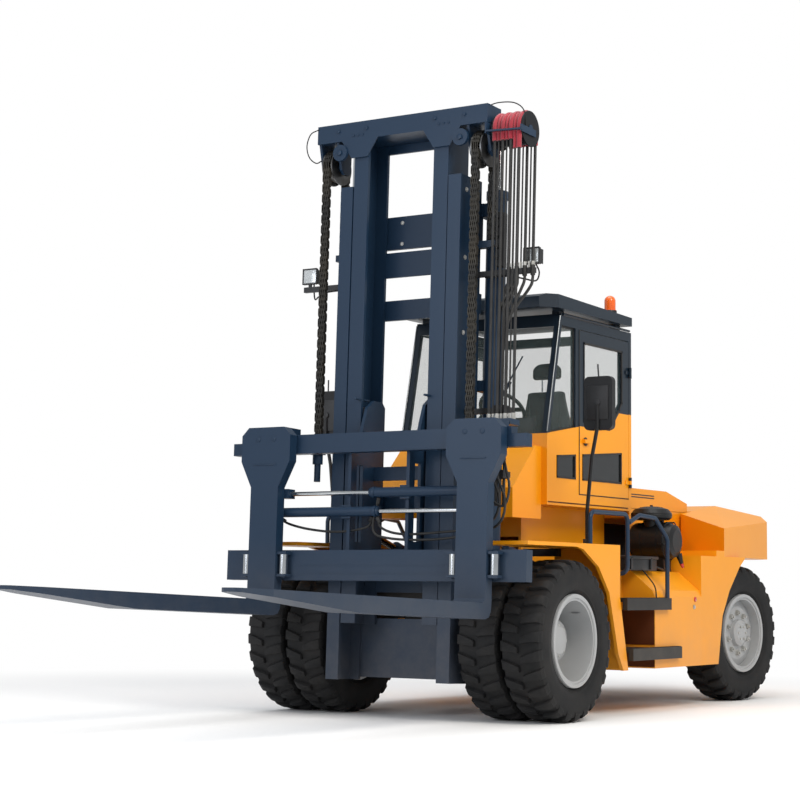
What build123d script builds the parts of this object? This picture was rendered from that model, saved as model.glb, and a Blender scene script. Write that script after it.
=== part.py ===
from build123d import *
from math import cos, radians, sin
import os

# A heavy counterbalance forklift truck, in millimetres.
# Construction frame: X to the truck's left, Y to its rear, Z up, Y = 0 at the drive axle.
# The finished parts are moved along Y so that the origin lies under the middle of the whole truck.

# Tyres and wheels
TYRE_R = 572.5
TYRE_W = 315.0
BEAD_R = 300.0
FLANGE_R = 331.5
FLANGE_T = 14.0
RIM_T = 16.0
LUGS = 17
LUG_H = 30.0
LUG_TOP = 10.0
LUG_FOOT = 12.8
LUG_REACH = 0.47
FRONT_OUTER_X = 1085.0
DUAL_SPACING = 345.0
REAR_X = 930.0
WHEELBASE = 3450.0
KINGPIN_X = 690.0
REST_STEER = -6.7
HUB_R = 165.0
DISC_T = 18.0
REAR_DISC_OUT = 84.0

# Drive axle and steer axle
AXLE_TUBE_R = 130.0
DIFF_R = 265.0
DIFF_SET_BACK = 60.0
STEER_BEAM_H = 230.0
STEER_BEAM_D = 220.0
STEER_BEAM_HALF = 560.0
OUTER_HUB_FACE = 560.0
MAST_LUG_X = 430.0

# Frame
RAIL_X = 330.0
RAIL_T = 50.0
RAIL_TOP = 1100.0
RAIL_BOTTOM = 430.0
FRAME_FRONT = -150.0
FRAME_REAR = 2740.0
SPINE_HALF = 170.0
SPINE_BOTTOM = 850.0
RAIL_SEAT = 706.0
PLINTH_X = 404.0

# Body sides
BODY_HALF = 1180.0
BODY_BOTTOM = 335.0
FENDER_TOP = 1265.0
FENDER_T = 26.0
FENDER_FRONT = -600.0
FENDER_IN_FRONT = 760.0
TANK_IN = 640.0
TANK_FRONT = 1420.0
TANK_REAR = WHEELBASE - 1160.0
TANK_TOP = 1080.0
TANK_SHOULDER = 880.0
WELL_IN = 900.0
STEP_T = 90.0
STEP_REACH = 40.0

# Counterweight
CW_BREAK = 2760.0
CW_REAR = 4500.0
CW_UNDER = 1212.0
CW_LOW = 450.0
CW_EDGE_FRONT_Z = 1446.0
CW_EDGE_REAR_Z = 1545.0
TOW_Z = 780.0
TOW_Y = 4356.0
TOW_R = 19.0

# Engine bay and hood
HOOD_HALF = 620.0
HOOD_FRONT = 2125.0
HOOD_BREAK = 2840.0
HOOD_REAR = 3262.0
HOOD_TOP = 1765.0
HOOD_REAR_TOP = 1676.0
HOOD_SKIRT = 1600.0
HOOD_T = 20.0
HOOD_HINGE = (3277.0, 1612.0)

# Cab
CAB_HALF = 650.0
CAB_FRONT = 656.0
CAB_REAR = 2105.0
CAB_BOTTOM = 1570.0
DOOR_BOTTOM = 1672.0
CAB_WALL = 45.0
SILL_FRONT_Z = 2110.0
SILL_MID_Z = 2195.0
SILL_REAR_Z = 2358.0
SCREEN_TOP_Y = 865.0
CAB_TOP = 3035.0
B_PILLAR_Y = 1120.0
DOOR_FRONT = 1186.0
DOOR_REAR = 2050.0
DOOR_GAP = 6.0
DOOR_T = 40.0
HEADER_Z = 2960.0
HINGE_AT = (664.0, 2056.0)
HINGE_Z = (1800.0, 2700.0)
ROOF_HALF = 705.0
ROOF_FRONT = 625.0
ROOF_REAR = 2010.0
ROOF_TOP = 3180.0
ROOF_T = 105.0
GLASS_T = 8.0

# Mast, in its own upright frame: it then leans back about the drive axle
REST_TILT = 2.0
OUTER_HALF = 525.0
OUTER_TIP = 418.0
OUTER_FRONT = -540.0
OUTER_BACK = -240.0
OUTER_BOTTOM = 250.0
OUTER_TOP = 3903.0
STEEL = 28.0
INNER_OUT = 410.0
INNER_TIP = 286.0
INNER_FRONT = -536.0
INNER_BACK = -248.0
INNER_BOTTOM = 658.0
BEAM_BOTTOM = 4256.0
BEAM_TOP = 4393.0
BEAM_HALF = 743.0
BEAM_FRONT = -556.0
BEAM_BACK = -360.0
CHAIN_X = 650.0
CHAIN_W = 62.0
CHAIN_D = 36.0
CHAIN_END_Z = 1940.0
CHAIN_ANCHOR_Z = 3440.0
SHEAVE_Y = -425.0
SHEAVE_Z = 4090.0
SHEAVE_R = 125.0
CHAIN_STEPS = 6
CYL_X = 620.0
CYL_Y = -175.0
CYL_R = 75.0
CYL_TOP = 3830.0
CYL_ROD_R = 42.0

# Carriage and forks
BAR_FRONT = -794.0
BAR_BACK = -710.0
UPPER_BAR_Z = (1875.0, 2015.0)
UPPER_BAR_HALF = 1130.0
UPPER_STUB_HALF = 1246.0
UPPER_STUB_TOP = 1965.0
LOWER_BAR_Z = (955.0, 1173.0)
LOWER_BAR_HALF = 1266.0
PLATE_X = 236.0
PLATE_T = 26.0
FORK_X = 883.0
FORK_W = 245.0
FORK_T = 86.0
FORK_GAP = 4.0
PLATE_HALF = 218.0
FORK_TOP = 2069.0
BLADE_TOP = 808.0
BLADE_BOTTOM = 698.0
FORK_TIP = -3550.0
BREAK_Y = -2400.0
TIP_T = 24.0

# Small shared sizes
FACE_GAP = 0.6
GLASS_GAP = 0.4
BORE_GAP = 0.5
WELD = 2.0

# Air cleaner, rails, mirrors, beacon
CLEANER_Y = 2080.0
CLEANER_Z = 1325.0
CLEANER_R = 150.0
CLEANER_X = (BODY_HALF - 480.0, BODY_HALF - 110.0)
CAP_X = BODY_HALF - 320.0
CAP_Y = 2040.0
CAP_R = 165.0
RAIL_TUBE_R = 17.0
GRAB_X = 1160.0
MIRROR_X = 1205.0
MIRROR_Y = 400.0
BEACON_AT = (550.0, 1920.0)
BEACON_R = 46.0

# Tilt cylinders
TILT_X = 470.0
TILT_CHASSIS = (1100.0, 980.0)
TILT_MAST = (-150.0, 1350.0)
TILT_R = 58.0
TILT_ROD_R = 30.0
TILT_EYE_R = 52.0
TILT_PIN_R = 21.0
TILT_BORE_R = 26.5

# Hose reel at the mast's head
HOSE_X = (800.0, 866.0, 932.0, 998.0)
HOSE_R = 11.0
REEL_R = 120.0
REEL_Z = 4200.0
REEL_Y = -420.0

# Fork positioners
POSITIONER_Y = -750.0
POSITIONER_R = 35.0
POSITIONER_ROD_R = 16.0
POSITIONER_Z = (1585.0, 1450.0)
POSITIONER_LENGTH = 850.0

# Small sizes of the mast and the carriage
CYL_BOTTOM = 1190.0
LAMP_X = 905.0
LAMP_W = 135.0
LAMP_H = 125.0
LAMP_FINS = 7
LAMP_Z = 3240.0
HOSE_END_Z = 2090.0
ROLLER_Y = -390.0
CARRIAGE_ROLLER_Z = (1140.0, 2140.0)
FORK_BACK = -800.0
HOOK_BACK = -672.0
TILT_BARREL = 850.0
BUNDLE = ((812.0, -432.0), (842.0, -432.0), (872.0, -432.0), (827.0, -460.0), (857.0, -460.0))

# Worked out from the sizes above
AXLE_Z = TYRE_R
LEAN = radians(REST_TILT)
TIP_LOW_Z = BLADE_TOP - TIP_T
TRUCK_FRONT = FORK_TIP * cos(LEAN) + (TIP_LOW_Z - AXLE_Z) * sin(LEAN)
ORIGIN_Y = (TRUCK_FRONT + CW_REAR) / 2


def box(x0, x1, y0, y1, z0, z1):
    """A block between two corners."""
    middle = Pos((x0 + x1) / 2, (y0 + y1) / 2, (z0 + z1) / 2)
    return middle * Box(abs(x1 - x0), abs(y1 - y0), abs(z1 - z0))


def side_shape(points, x0, x1):
    """An outline of (y, z) points, carried from x0 to x1."""
    face = Plane.YZ * make_face(Polyline(*points, close=True))
    return Pos(x0, 0, 0) * extrude(face, amount=x1 - x0)


def front_shape(points, y0, y1):
    """An outline of (x, z) points, carried from y0 to y1."""
    face = Plane.XZ * make_face(Polyline(*points, close=True))
    return Pos(0, y0, 0) * extrude(face, amount=y0 - y1)


def plan_shape(points, z0, z1):
    """An outline of (x, y) points, carried from z0 to z1."""
    face = make_face(Polyline(*points, close=True))
    return Pos(0, 0, z0) * extrude(face, amount=z1 - z0)


def rod(start, end, radius):
    """A round bar between two points."""
    line = Vector(*end) - Vector(*start)
    return Solid.make_cylinder(radius, line.length, Plane(origin=start, z_dir=line))


def pipe(start, end, outer, inner):
    """A round tube between two points."""
    return rod(start, end, outer) - rod(start, end, inner)


def lathe(points, place):
    """An outline of (x, radius) points, turned about the X axis through a place."""
    face = make_face(Polyline(*points, close=True))
    return Pos(*place) * revolve(face, axis=Axis.X)


def bent_tube(points, radius, bend):
    """A round bar along straight runs joined by arcs."""
    path = FilletPolyline(*points, radius=bend)
    start = Plane(origin=path @ 0, z_dir=path % 0)
    return sweep(start * Circle(radius), path=path)


def both_sides(part):
    """The part and its mirror image across the truck's middle plane."""
    return Part() + [part, mirror(part, about=Plane.YZ)]


def leaning(part):
    """The part turned with the mast, from upright to its rest tilt."""
    return part.rotate(Axis((0, 0, AXLE_Z), (1, 0, 0)), -REST_TILT)


def steered(part, side):
    """A rear part turned about its kingpin to the rest steering angle."""
    return part.rotate(Axis((side * KINGPIN_X, WHEELBASE, 0), (0, 0, 1)), REST_STEER)


# Wheels

def around(count, start, marks):
    """Points (y, z) round the wheel's axis: each of count steps repeats the (angle, radius) marks."""
    points = []
    for step in range(count):
        for angle, radius in marks:
            turn = radians(start + step * 360 / count + angle)
            points.append((radius * sin(turn), -radius * cos(turn)))
    return points


def ring_wire(x, radius):
    """A closed polygon with one corner in each gap between the lugs."""
    points = around(LUGS, 180 / LUGS, [(0, radius)])
    return Wire.make_polygon([(x, y, z) for y, z in points], close=True)


def lug_row(x0, x1, start):
    """Half the tread: one row of lugs standing on the carcass."""
    tip = TYRE_R / cos(radians(LUG_TOP / 2))
    root = TYRE_R - LUG_H
    marks = [(-LUG_FOOT / 2, root), (-LUG_TOP / 2, tip), (LUG_TOP / 2, tip), (LUG_FOOT / 2, root)]
    row = side_shape(around(LUGS, start, marks), x0, x1)
    return row - side_shape(around(LUGS, start, [(0, root - 60)]), x0 - 1, x1 + 1)


def tyre(x, y):
    """One tyre: its carcass between the beads, and two rows of lugs set half a pitch apart."""
    half = TYRE_W / 2
    bead = 0.40 * TYRE_W
    shoulder = LUG_REACH * TYRE_W
    flat = cos(radians(180 / LUGS))
    sections = [
        # x, radius
        (-bead, (FLANGE_R + 1) / flat), (-half, FLANGE_R + 110), (-shoulder, TYRE_R - LUG_H - 6),
        (shoulder, TYRE_R - LUG_H - 6), (half, FLANGE_R + 110), (bead, (FLANGE_R + 1) / flat),
    ]
    wires = [ring_wire(place, radius) for place, radius in sections]
    carcass = Solid.make_loft(wires, ruled=True)
    tread = lug_row(-shoulder, 0, 180 / LUGS) + lug_row(0, shoulder, 0)
    bore = side_shape(around(LUGS, 180 / LUGS, [(0, BEAD_R / flat)]), -half, half)
    return Pos(x, y, AXLE_Z) * (Part() + carcass + tread - bore)


def rim_barrel(x, y):
    """A rim's barrel with its two flanges beside the tyre's beads."""
    edge = 0.40 * TYRE_W + 2 + FLANGE_T
    inside = BEAD_R - RIM_T
    outside = BEAD_R - GLASS_GAP
    section = [
        (-edge, inside), (edge, inside), (edge, FLANGE_R), (edge - FLANGE_T, FLANGE_R),
        (edge - FLANGE_T, outside), (-edge + FLANGE_T, outside), (-edge + FLANGE_T, FLANGE_R), (-edge, FLANGE_R),
    ]
    return lathe(section, (x, y, AXLE_Z))


def front_rims():
    """Both rims of the left dual wheel on their hub, with the outer one dished deep."""
    outer = FRONT_OUTER_X
    inner = FRONT_OUTER_X - DUAL_SPACING
    inside = BEAD_R - RIM_T
    face = outer - 0.40 * TYRE_W + 12
    drum = [
        (OUTER_HUB_FACE, 0), (OUTER_HUB_FACE, HUB_R + 40), (face - 2 * DISC_T, HUB_R), (face + 60, HUB_R),
        (face + 120, HUB_R - 25), (face + 140, HUB_R - 70), (face + 140, 0),
    ]
    disc = [(face - DISC_T, 0), (face, 0), (face, inside + 2), (face - DISC_T, inside + 2)]
    edge = inner + 0.40 * TYRE_W
    cone = [
        (edge, inside), (edge + 6, inside + 8), (face - DISC_T, HUB_R + 60), (face - DISC_T, 0),
        (face - 2 * DISC_T, 0), (face - 2 * DISC_T, HUB_R + 50),
    ]
    place = (0, 0, AXLE_Z)
    hub = lathe(drum, place) + lathe(disc, place) + lathe(cone, place)
    return hub + rim_barrel(outer, 0) + rim_barrel(inner, 0)


def rear_rim(side):
    """A rear rim with its disc set outward, on its hub."""
    inside = BEAD_R - RIM_T
    face = REAR_DISC_OUT
    disc = [
        (-60 + FACE_GAP, 0), (-60 + FACE_GAP, 125), (face - DISC_T, 125), (face - DISC_T - 22, inside + 2),
        (face - 22, inside + 2), (face, 220), (face, 118), (face + 34, 110), (face + 52, 80), (face + 52, 0),
    ]
    wheel = lathe(disc, (0, 0, 0)) + Pos(0, 0, -AXLE_Z) * rim_barrel(0, 0)
    if side < 0:
        wheel = mirror(wheel, about=Plane.YZ)
    return Pos(side * REAR_X, WHEELBASE, AXLE_Z) * wheel


def knuckle(side):
    """A steering knuckle: kingpin boss and stub axle."""
    x = side * KINGPIN_X
    boss = rod((x, WHEELBASE, AXLE_Z - 110), (x, WHEELBASE, AXLE_Z + 110), 72)
    stub = rod((x, WHEELBASE, AXLE_Z), (side * (REAR_X - 60), WHEELBASE, AXLE_Z), 60)
    return boss + stub


def drive_axle():
    """The drive axle's tube, differential bulge, mast collars and frame saddles."""
    end = OUTER_HUB_FACE - FACE_GAP
    axle = rod((-end, 0, AXLE_Z), (end, 0, AXLE_Z), AXLE_TUBE_R)
    bulge = lathe([(-150, 0), (-150, 180), (-90, DIFF_R), (90, DIFF_R), (150, 180), (150, 0)], (0, DIFF_SET_BACK, AXLE_Z))
    flange = rod((end - 20, 0, AXLE_Z), (end, 0, AXLE_Z), AXLE_TUBE_R + 40)
    collar = rod((RAIL_X + RAIL_T + FACE_GAP, 0, AXLE_Z), (MAST_LUG_X - FACE_GAP, 0, AXLE_Z), AXLE_TUBE_R + 50)
    saddle = box(RAIL_X, RAIL_X + RAIL_T, -120, 120, AXLE_Z, RAIL_SEAT)
    return axle + bulge + both_sides(flange + collar + saddle)


def steer_axle():
    """The steer axle's beam, with a yoke above and below each kingpin boss."""
    half_h = STEER_BEAM_H / 2
    half_d = STEER_BEAM_D / 2
    beam = box(-STEER_BEAM_HALF, STEER_BEAM_HALF, WHEELBASE - half_d, WHEELBASE + half_d,
               AXLE_Z - half_h, AXLE_Z + half_h)
    pivot = box(-90, 90, WHEELBASE - 150, WHEELBASE + 150, AXLE_Z + half_h, SPINE_BOTTOM)
    x = KINGPIN_X
    yoke = Part()
    for z0, z1 in ((AXLE_Z - 150, AXLE_Z - 110 - FACE_GAP), (AXLE_Z + 110 + FACE_GAP, AXLE_Z + 150)):
        yoke = yoke + rod((x, WHEELBASE, z0), (x, WHEELBASE, z1), 70)
        yoke = yoke + box(STEER_BEAM_HALF - 80, x, WHEELBASE - 65, WHEELBASE + 65, z0, z1)
    web = box(STEER_BEAM_HALF - 80, STEER_BEAM_HALF, WHEELBASE - 65, WHEELBASE + 65, AXLE_Z - 150, AXLE_Z + 150)
    return beam + pivot + both_sides(yoke + web)


# Chassis

def main_frame():
    """Two deep rails, their cross plates, outriggers and the spine over the steer axle."""
    rail_outline = [
        (FRAME_FRONT, RAIL_SEAT), (FRAME_FRONT, RAIL_TOP), (FRAME_REAR, RAIL_TOP), (FRAME_REAR, 700),
        (2300, RAIL_BOTTOM), (620, RAIL_BOTTOM), (300, RAIL_SEAT),
    ]
    rail = side_shape(rail_outline, RAIL_X, RAIL_X + RAIL_T)
    frame = both_sides(rail)
    outer = RAIL_X + RAIL_T
    crosses = [
        # x half, y0, y1, z0, z1
        (RAIL_X, FRAME_FRONT, FRAME_FRONT + 30, 860, RAIL_TOP),
        (RAIL_X, 1000, 1030, RAIL_BOTTOM, RAIL_TOP),
        (outer, FRAME_REAR - 60, FRAME_REAR, 700, CW_UNDER),
        (TANK_IN, 1500, 1560, 560, 680),
        (TANK_IN, 2200, 2260, 560, 680),
        (TANK_IN + 60, 730, 790, 1180, FENDER_TOP - FENDER_T),
        (outer, 2000, 2060, RAIL_TOP, 1240),
    ]
    for half, y0, y1, z0, z1 in crosses:
        frame = frame + box(-half, half, y0, y1, z0, z1)
    frame = frame + both_sides(box(RAIL_X, outer, 730, 790, RAIL_TOP, 1180))
    spine = box(-SPINE_HALF, SPINE_HALF, FRAME_REAR - 60, 4160, SPINE_BOTTOM, CW_UNDER)
    lug = Part()
    for x0 in (TILT_X - 56, TILT_X + 32):
        lug = lug + rod((x0, *TILT_CHASSIS), (x0 + 24, *TILT_CHASSIS), 70)
        lug = lug + box(x0, x0 + 24, TILT_CHASSIS[0] - 70, TILT_CHASSIS[0] + 140, 860, TILT_CHASSIS[1])
    pin = rod((outer, *TILT_CHASSIS), (TILT_X + 56, *TILT_CHASSIS), TILT_PIN_R)
    shelf = box(outer, TILT_X + 56, TILT_CHASSIS[0] - 70, TILT_CHASSIS[0] + 140, 830, 860)
    return frame + spine + both_sides(lug + pin + shelf)


def engine_block():
    """The engine, as one plain block between the rails."""
    return box(-RAIL_X, RAIL_X, 2130, FRAME_REAR - 61, 780, 1480)


def cab_plinth():
    """The open box of plates that carries the cab above the rails."""
    wall = box(PLINTH_X - 24 + FACE_GAP, PLINTH_X, 700, 2100, 1110, CAB_BOTTOM)
    front = box(-PLINTH_X, PLINTH_X, 700, 724, 1330, CAB_BOTTOM)
    rear = box(-PLINTH_X, PLINTH_X, 2076, 2100, 1500, CAB_BOTTOM)
    slot = box(-PLINTH_X - 1, PLINTH_X + 1, 729.8, 790.2, 1179.8, 1239.2)
    return both_sides(wall) + front + rear - slot


def fender(side):
    """A front fender: arched sheet over the dual tyres, outer face and deck."""
    under = FENDER_TOP - FENDER_T
    arch_out = [(FENDER_FRONT, FENDER_TOP), (820, FENDER_TOP), (820, 870), (955, BODY_BOTTOM)]
    arch_in = [(876, BODY_BOTTOM), (790, 460), (640, 913), (470, 1100), (230, under - 18), (130, under),
               (FENDER_FRONT, under)]
    band_in = [(930, BODY_BOTTOM), (796, 868), (796, under), (FENDER_FRONT, under)]
    outline = arch_out + arch_in
    face = side_shape(outline, BODY_HALF - FENDER_T, BODY_HALF)
    band = side_shape(arch_out + band_in, TANK_IN, BODY_HALF)
    band = band - box(TANK_IN - 1, FENDER_IN_FRONT, FENDER_FRONT - 1, 100, under - 1, FENDER_TOP + 1)
    part = face + band
    return part if side > 0 else mirror(part, about=Plane.YZ)


def side_tank(side):
    """A side tank with a sloped shoulder, and the recess behind the steps."""
    section = [
        (TANK_IN, BODY_BOTTOM), (BODY_HALF, BODY_BOTTOM), (BODY_HALF, TANK_SHOULDER), (BODY_HALF - 20, 930),
        (BODY_HALF - 200, TANK_TOP), (TANK_IN, TANK_TOP),
    ]
    tank = front_shape(section, TANK_FRONT, TANK_REAR)
    well = box(TANK_IN, WELL_IN, 958, TANK_FRONT, BODY_BOTTOM, TANK_TOP)
    part = tank + well
    return part if side > 0 else mirror(part, about=Plane.YZ)


def steps():
    """Two steps on each side, each a tread in the recess with a nosing bar."""
    part = Part()
    for y0, y1, z1 in ((860, 1640, 872), (960, 1830, 495)):
        nose = box(BODY_HALF + FACE_GAP, BODY_HALF + STEP_REACH, y0, y1, z1 - STEP_T, z1)
        tread = box(WELL_IN, BODY_HALF + FACE_GAP, 970, TANK_FRONT, z1 - 30, z1)
        part = part + nose + tread
    return both_sides(part)


def plane_through(a, b, c):
    """The plane through three points, facing up."""
    a, b, c = Vector(*a), Vector(*b), Vector(*c)
    normal = (b - a).cross(c - a)
    if normal.Z < 0:
        normal = normal * -1
    return Plane(origin=a, z_dir=normal)


def counterweight():
    """The cast counterweight: faceted top, side skirts and a low middle block behind the wheels."""
    plan = [
        # x, y from the front inner corner round to the rear
        (HOOD_HALF + 25, 3080), (BODY_HALF, CW_BREAK), (975, 4200), (800, 4450), (600, CW_REAR),
    ]
    outline = plan + [(-x, y) for x, y in reversed(plan)]
    block = plan_shape(outline, CW_UNDER, 1720)
    corner = (BODY_HALF, CW_BREAK, CW_EDGE_FRONT_Z)
    tail = (975, 4200, CW_EDGE_REAR_Z)
    peak = (620, 3870, 1683)
    start = (HOOD_HALF + 25, 3080, 1585)
    facets = [(corner, start, peak), (corner, tail, peak)]
    for facet in facets:
        flipped = [(-x, y, z) for x, y, z in facet]
        block = split(block, bisect_by=plane_through(*facet), keep=Keep.BOTTOM)
        block = split(block, bisect_by=plane_through(*flipped), keep=Keep.BOTTOM)
    decks = [(start, peak, (0, 3870, 1683)), (peak, (-620, 3870, 1683), (0, CW_REAR, 1590))]
    for deck in decks:
        block = split(block, bisect_by=plane_through(*deck), keep=Keep.BOTTOM)
    block = block - box(-HOOD_HALF - 25, HOOD_HALF + 25, 3000, HOOD_REAR + 40, CW_UNDER - 1, 1800)
    skirt_outline = [
        (TANK_REAR, BODY_BOTTOM), (WHEELBASE - 822, BODY_BOTTOM), (WHEELBASE - 732, 725), (WHEELBASE - 584, 932),
        (WHEELBASE - 373, 1125), (WHEELBASE - 236, CW_UNDER), (TANK_REAR, CW_UNDER),
    ]
    skirt = side_shape(skirt_outline, 780, BODY_HALF)
    bridge = plan_shape([(780, 2600), (BODY_HALF, 2600), (BODY_HALF, CW_BREAK), (780, 3010)], CW_UNDER, 1260)
    skirt = skirt - box(779, BODY_HALF - 36, WHEELBASE - 760, WHEELBASE - 150, BODY_BOTTOM, CW_UNDER - 36)
    low = box(-500, 500, 4180, 4420, CW_LOW, CW_UNDER)
    low = low - box(-130, 130, 4290, 4421, CW_LOW - 1, TOW_Z + 190)
    for z0 in (TOW_Z - 90, TOW_Z + 50):
        low = low + box(-90, 90, 4280, 4410, z0, z0 + 40)
    low = low - rod((0, TOW_Y, TOW_Z - 91), (0, TOW_Y, TOW_Z + 91), TOW_R)
    return block + both_sides(skirt + bridge) + low


def engine_bay():
    """The engine bay's side sheets, on brackets from the rails."""
    outline = [
        (HOOD_FRONT, 1000), (FRAME_REAR, 1000), (FRAME_REAR, CW_UNDER + 4), (HOOD_REAR, CW_UNDER + 4),
        (HOOD_REAR, HOOD_SKIRT - 4), (HOOD_FRONT, HOOD_SKIRT - 4),
    ]
    sheet = side_shape(outline, HOOD_HALF - HOOD_T, HOOD_HALF)
    foot = box(RAIL_X + RAIL_T, HOOD_HALF - HOOD_T, 2300, 2360, 1040, RAIL_TOP)
    rear_foot = box(RAIL_X + RAIL_T, HOOD_HALF - HOOD_T, FRAME_REAR - 140, FRAME_REAR - 80, 1040, RAIL_TOP)
    back = box(-HOOD_HALF, HOOD_HALF, HOOD_REAR - HOOD_T, HOOD_REAR, CW_UNDER + 4, HOOD_SKIRT - 40)
    ears = Part()
    for x0 in (-440, 380):
        ears = ears + rod((x0, *HOOD_HINGE), (x0 + 60, *HOOD_HINGE), 13)
        ears = ears + box(x0, x0 + 60, HOOD_HINGE[0] - 16, HOOD_HINGE[0] + 8, HOOD_SKIRT - 60, HOOD_HINGE[1])
    return both_sides(sheet + foot + rear_foot) + back + ears


def hood():
    """The engine hood: a sloped lid with side skirts, hinged at its rear edge."""
    top = [
        (HOOD_FRONT, HOOD_SKIRT), (HOOD_FRONT, HOOD_TOP), (HOOD_BREAK, HOOD_TOP), (HOOD_REAR, HOOD_REAR_TOP),
        (HOOD_REAR, HOOD_SKIRT),
    ]
    inner = [
        (HOOD_FRONT + HOOD_T, HOOD_SKIRT - 1), (HOOD_FRONT + HOOD_T, HOOD_TOP - HOOD_T),
        (HOOD_BREAK - 4, HOOD_TOP - HOOD_T), (HOOD_REAR - HOOD_T, HOOD_REAR_TOP - HOOD_T + 2),
        (HOOD_REAR - HOOD_T, HOOD_SKIRT - 1),
    ]
    shell = side_shape(top, -HOOD_HALF, HOOD_HALF)
    shell = shell - side_shape(inner, -HOOD_HALF + HOOD_T, HOOD_HALF - HOOD_T)
    knuckles = Part()
    for x0 in (-380 + FACE_GAP, 320 - FACE_GAP):
        knuckles = knuckles + rod((x0, *HOOD_HINGE), (x0 + 60, *HOOD_HINGE), 13)
        knuckles = knuckles + box(x0, x0 + 60, HOOD_REAR - 6, HOOD_HINGE[0], HOOD_HINGE[1] - 13, HOOD_HINGE[1] + 13)
    clear = Part()
    for x0 in (-444, 376):
        clear = clear + box(x0, x0 + 68, HOOD_REAR - HOOD_T - 1, HOOD_HINGE[0] + 30, HOOD_SKIRT - 1, HOOD_HINGE[1] + 24)
    return shell - clear + knuckles


# Cab

def low_window(y0, y1):
    """The (y, z) outline of a stretch of the long low side window."""
    def top(y):
        return 1945 + (y - 816) * 83 / 1099
    return [(y0, 1786), (y1, 1790), (y1, top(y1)), (y0, top(y0))]


def cab_shell():
    """The cab's lower tub: floor, front and rear walls, side walls round the doors, cowl."""
    side = side_shape([
        (CAB_FRONT, CAB_BOTTOM), (CAB_REAR, CAB_BOTTOM), (CAB_REAR, SILL_REAR_Z), (DOOR_REAR + DOOR_GAP, SILL_REAR_Z),
        (DOOR_REAR + DOOR_GAP, DOOR_BOTTOM - DOOR_GAP), (DOOR_FRONT - DOOR_GAP, DOOR_BOTTOM - DOOR_GAP),
        (DOOR_FRONT - DOOR_GAP, SILL_MID_Z), (CAB_FRONT, SILL_FRONT_Z),
    ], CAB_HALF - CAB_WALL, CAB_HALF)
    side = side - side_shape(low_window(816, 1112), CAB_HALF - CAB_WALL - 1, CAB_HALF + 1)
    inside = CAB_HALF - CAB_WALL
    floor = box(-inside, inside, CAB_FRONT, CAB_REAR, CAB_BOTTOM, CAB_BOTTOM + 40)
    front = box(-inside, inside, CAB_FRONT, CAB_FRONT + CAB_WALL, CAB_BOTTOM, SILL_FRONT_Z)
    rear = box(-inside, inside, CAB_REAR - CAB_WALL, CAB_REAR, CAB_BOTTOM, SILL_REAR_Z)
    cowl = side_shape([(215, 1460), (CAB_FRONT, 1460), (CAB_FRONT, 2010), (560, 2010), (215, 1680)], -600, 600)
    cowl = cowl - side_shape([(239, 1459), (CAB_FRONT + 1, 1459), (CAB_FRONT + 1, 1986), (570, 1986), (239, 1670)], -576, 576)
    return both_sides(side) + floor + front + rear + cowl


def cab_frame():
    """The cab's upper frame: pillars, headers and the roof's four feet."""
    rake = (SCREEN_TOP_Y - CAB_FRONT) / (CAB_TOP - SILL_FRONT_Z)
    a_pillar = [(CAB_FRONT, SILL_FRONT_Z + GLASS_GAP), (CAB_FRONT + 44, SILL_FRONT_Z + 8), (SCREEN_TOP_Y + 44, CAB_TOP),
                (SCREEN_TOP_Y, CAB_TOP)]
    b_pillar = [(B_PILLAR_Y, 2185.8), (DOOR_FRONT - DOOR_GAP, 2195.5), (DOOR_FRONT - DOOR_GAP, CAB_TOP), (B_PILLAR_Y, CAB_TOP)]
    c_pillar = [(DOOR_REAR + DOOR_GAP, SILL_REAR_Z + GLASS_GAP), (CAB_REAR, SILL_REAR_Z + GLASS_GAP), (CAB_REAR, CAB_TOP),
                (DOOR_REAR + DOOR_GAP, CAB_TOP)]
    header = [(SCREEN_TOP_Y - 10, HEADER_Z), (CAB_REAR, HEADER_Z), (CAB_REAR, CAB_TOP), (SCREEN_TOP_Y, CAB_TOP)]
    inside = CAB_HALF - CAB_WALL
    side = Part()
    for outline in (a_pillar, b_pillar, c_pillar, header):
        side = side + side_shape(outline, inside, CAB_HALF)
    front_low_y = SCREEN_TOP_Y - rake * (CAB_TOP - 2950)
    front = side_shape([(front_low_y, 2950), (front_low_y + 44, 2950), (SCREEN_TOP_Y + 44, CAB_TOP), (SCREEN_TOP_Y, CAB_TOP)],
                       -inside, inside)
    rear = box(-inside, inside, DOOR_REAR + DOOR_GAP, CAB_REAR, 2960, CAB_TOP)
    foot = box(560, 620, 900, 980, CAB_TOP, ROOF_TOP - ROOF_T) + box(560, 620, 1880, 1960, CAB_TOP, ROOF_TOP - ROOF_T)
    return both_sides(side + foot) + front + rear


def cab_roof():
    """The roof slab, lower at the rear, with cut front corners."""
    low = ROOF_TOP - ROOF_T
    slab = side_shape([
        (ROOF_FRONT, low), (ROOF_FRONT, ROOF_TOP - 22), (ROOF_FRONT + 40, ROOF_TOP), (ROOF_REAR, ROOF_TOP - 34), (ROOF_REAR, low),
    ], -ROOF_HALF, ROOF_HALF)
    cut = plan_shape([
        (ROOF_HALF - 110, ROOF_FRONT - 1), (ROOF_HALF + 1, ROOF_FRONT - 1), (ROOF_HALF + 1, ROOF_FRONT + 110),
    ], low - 1, ROOF_TOP + 1)
    return slab - both_sides(cut)


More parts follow.
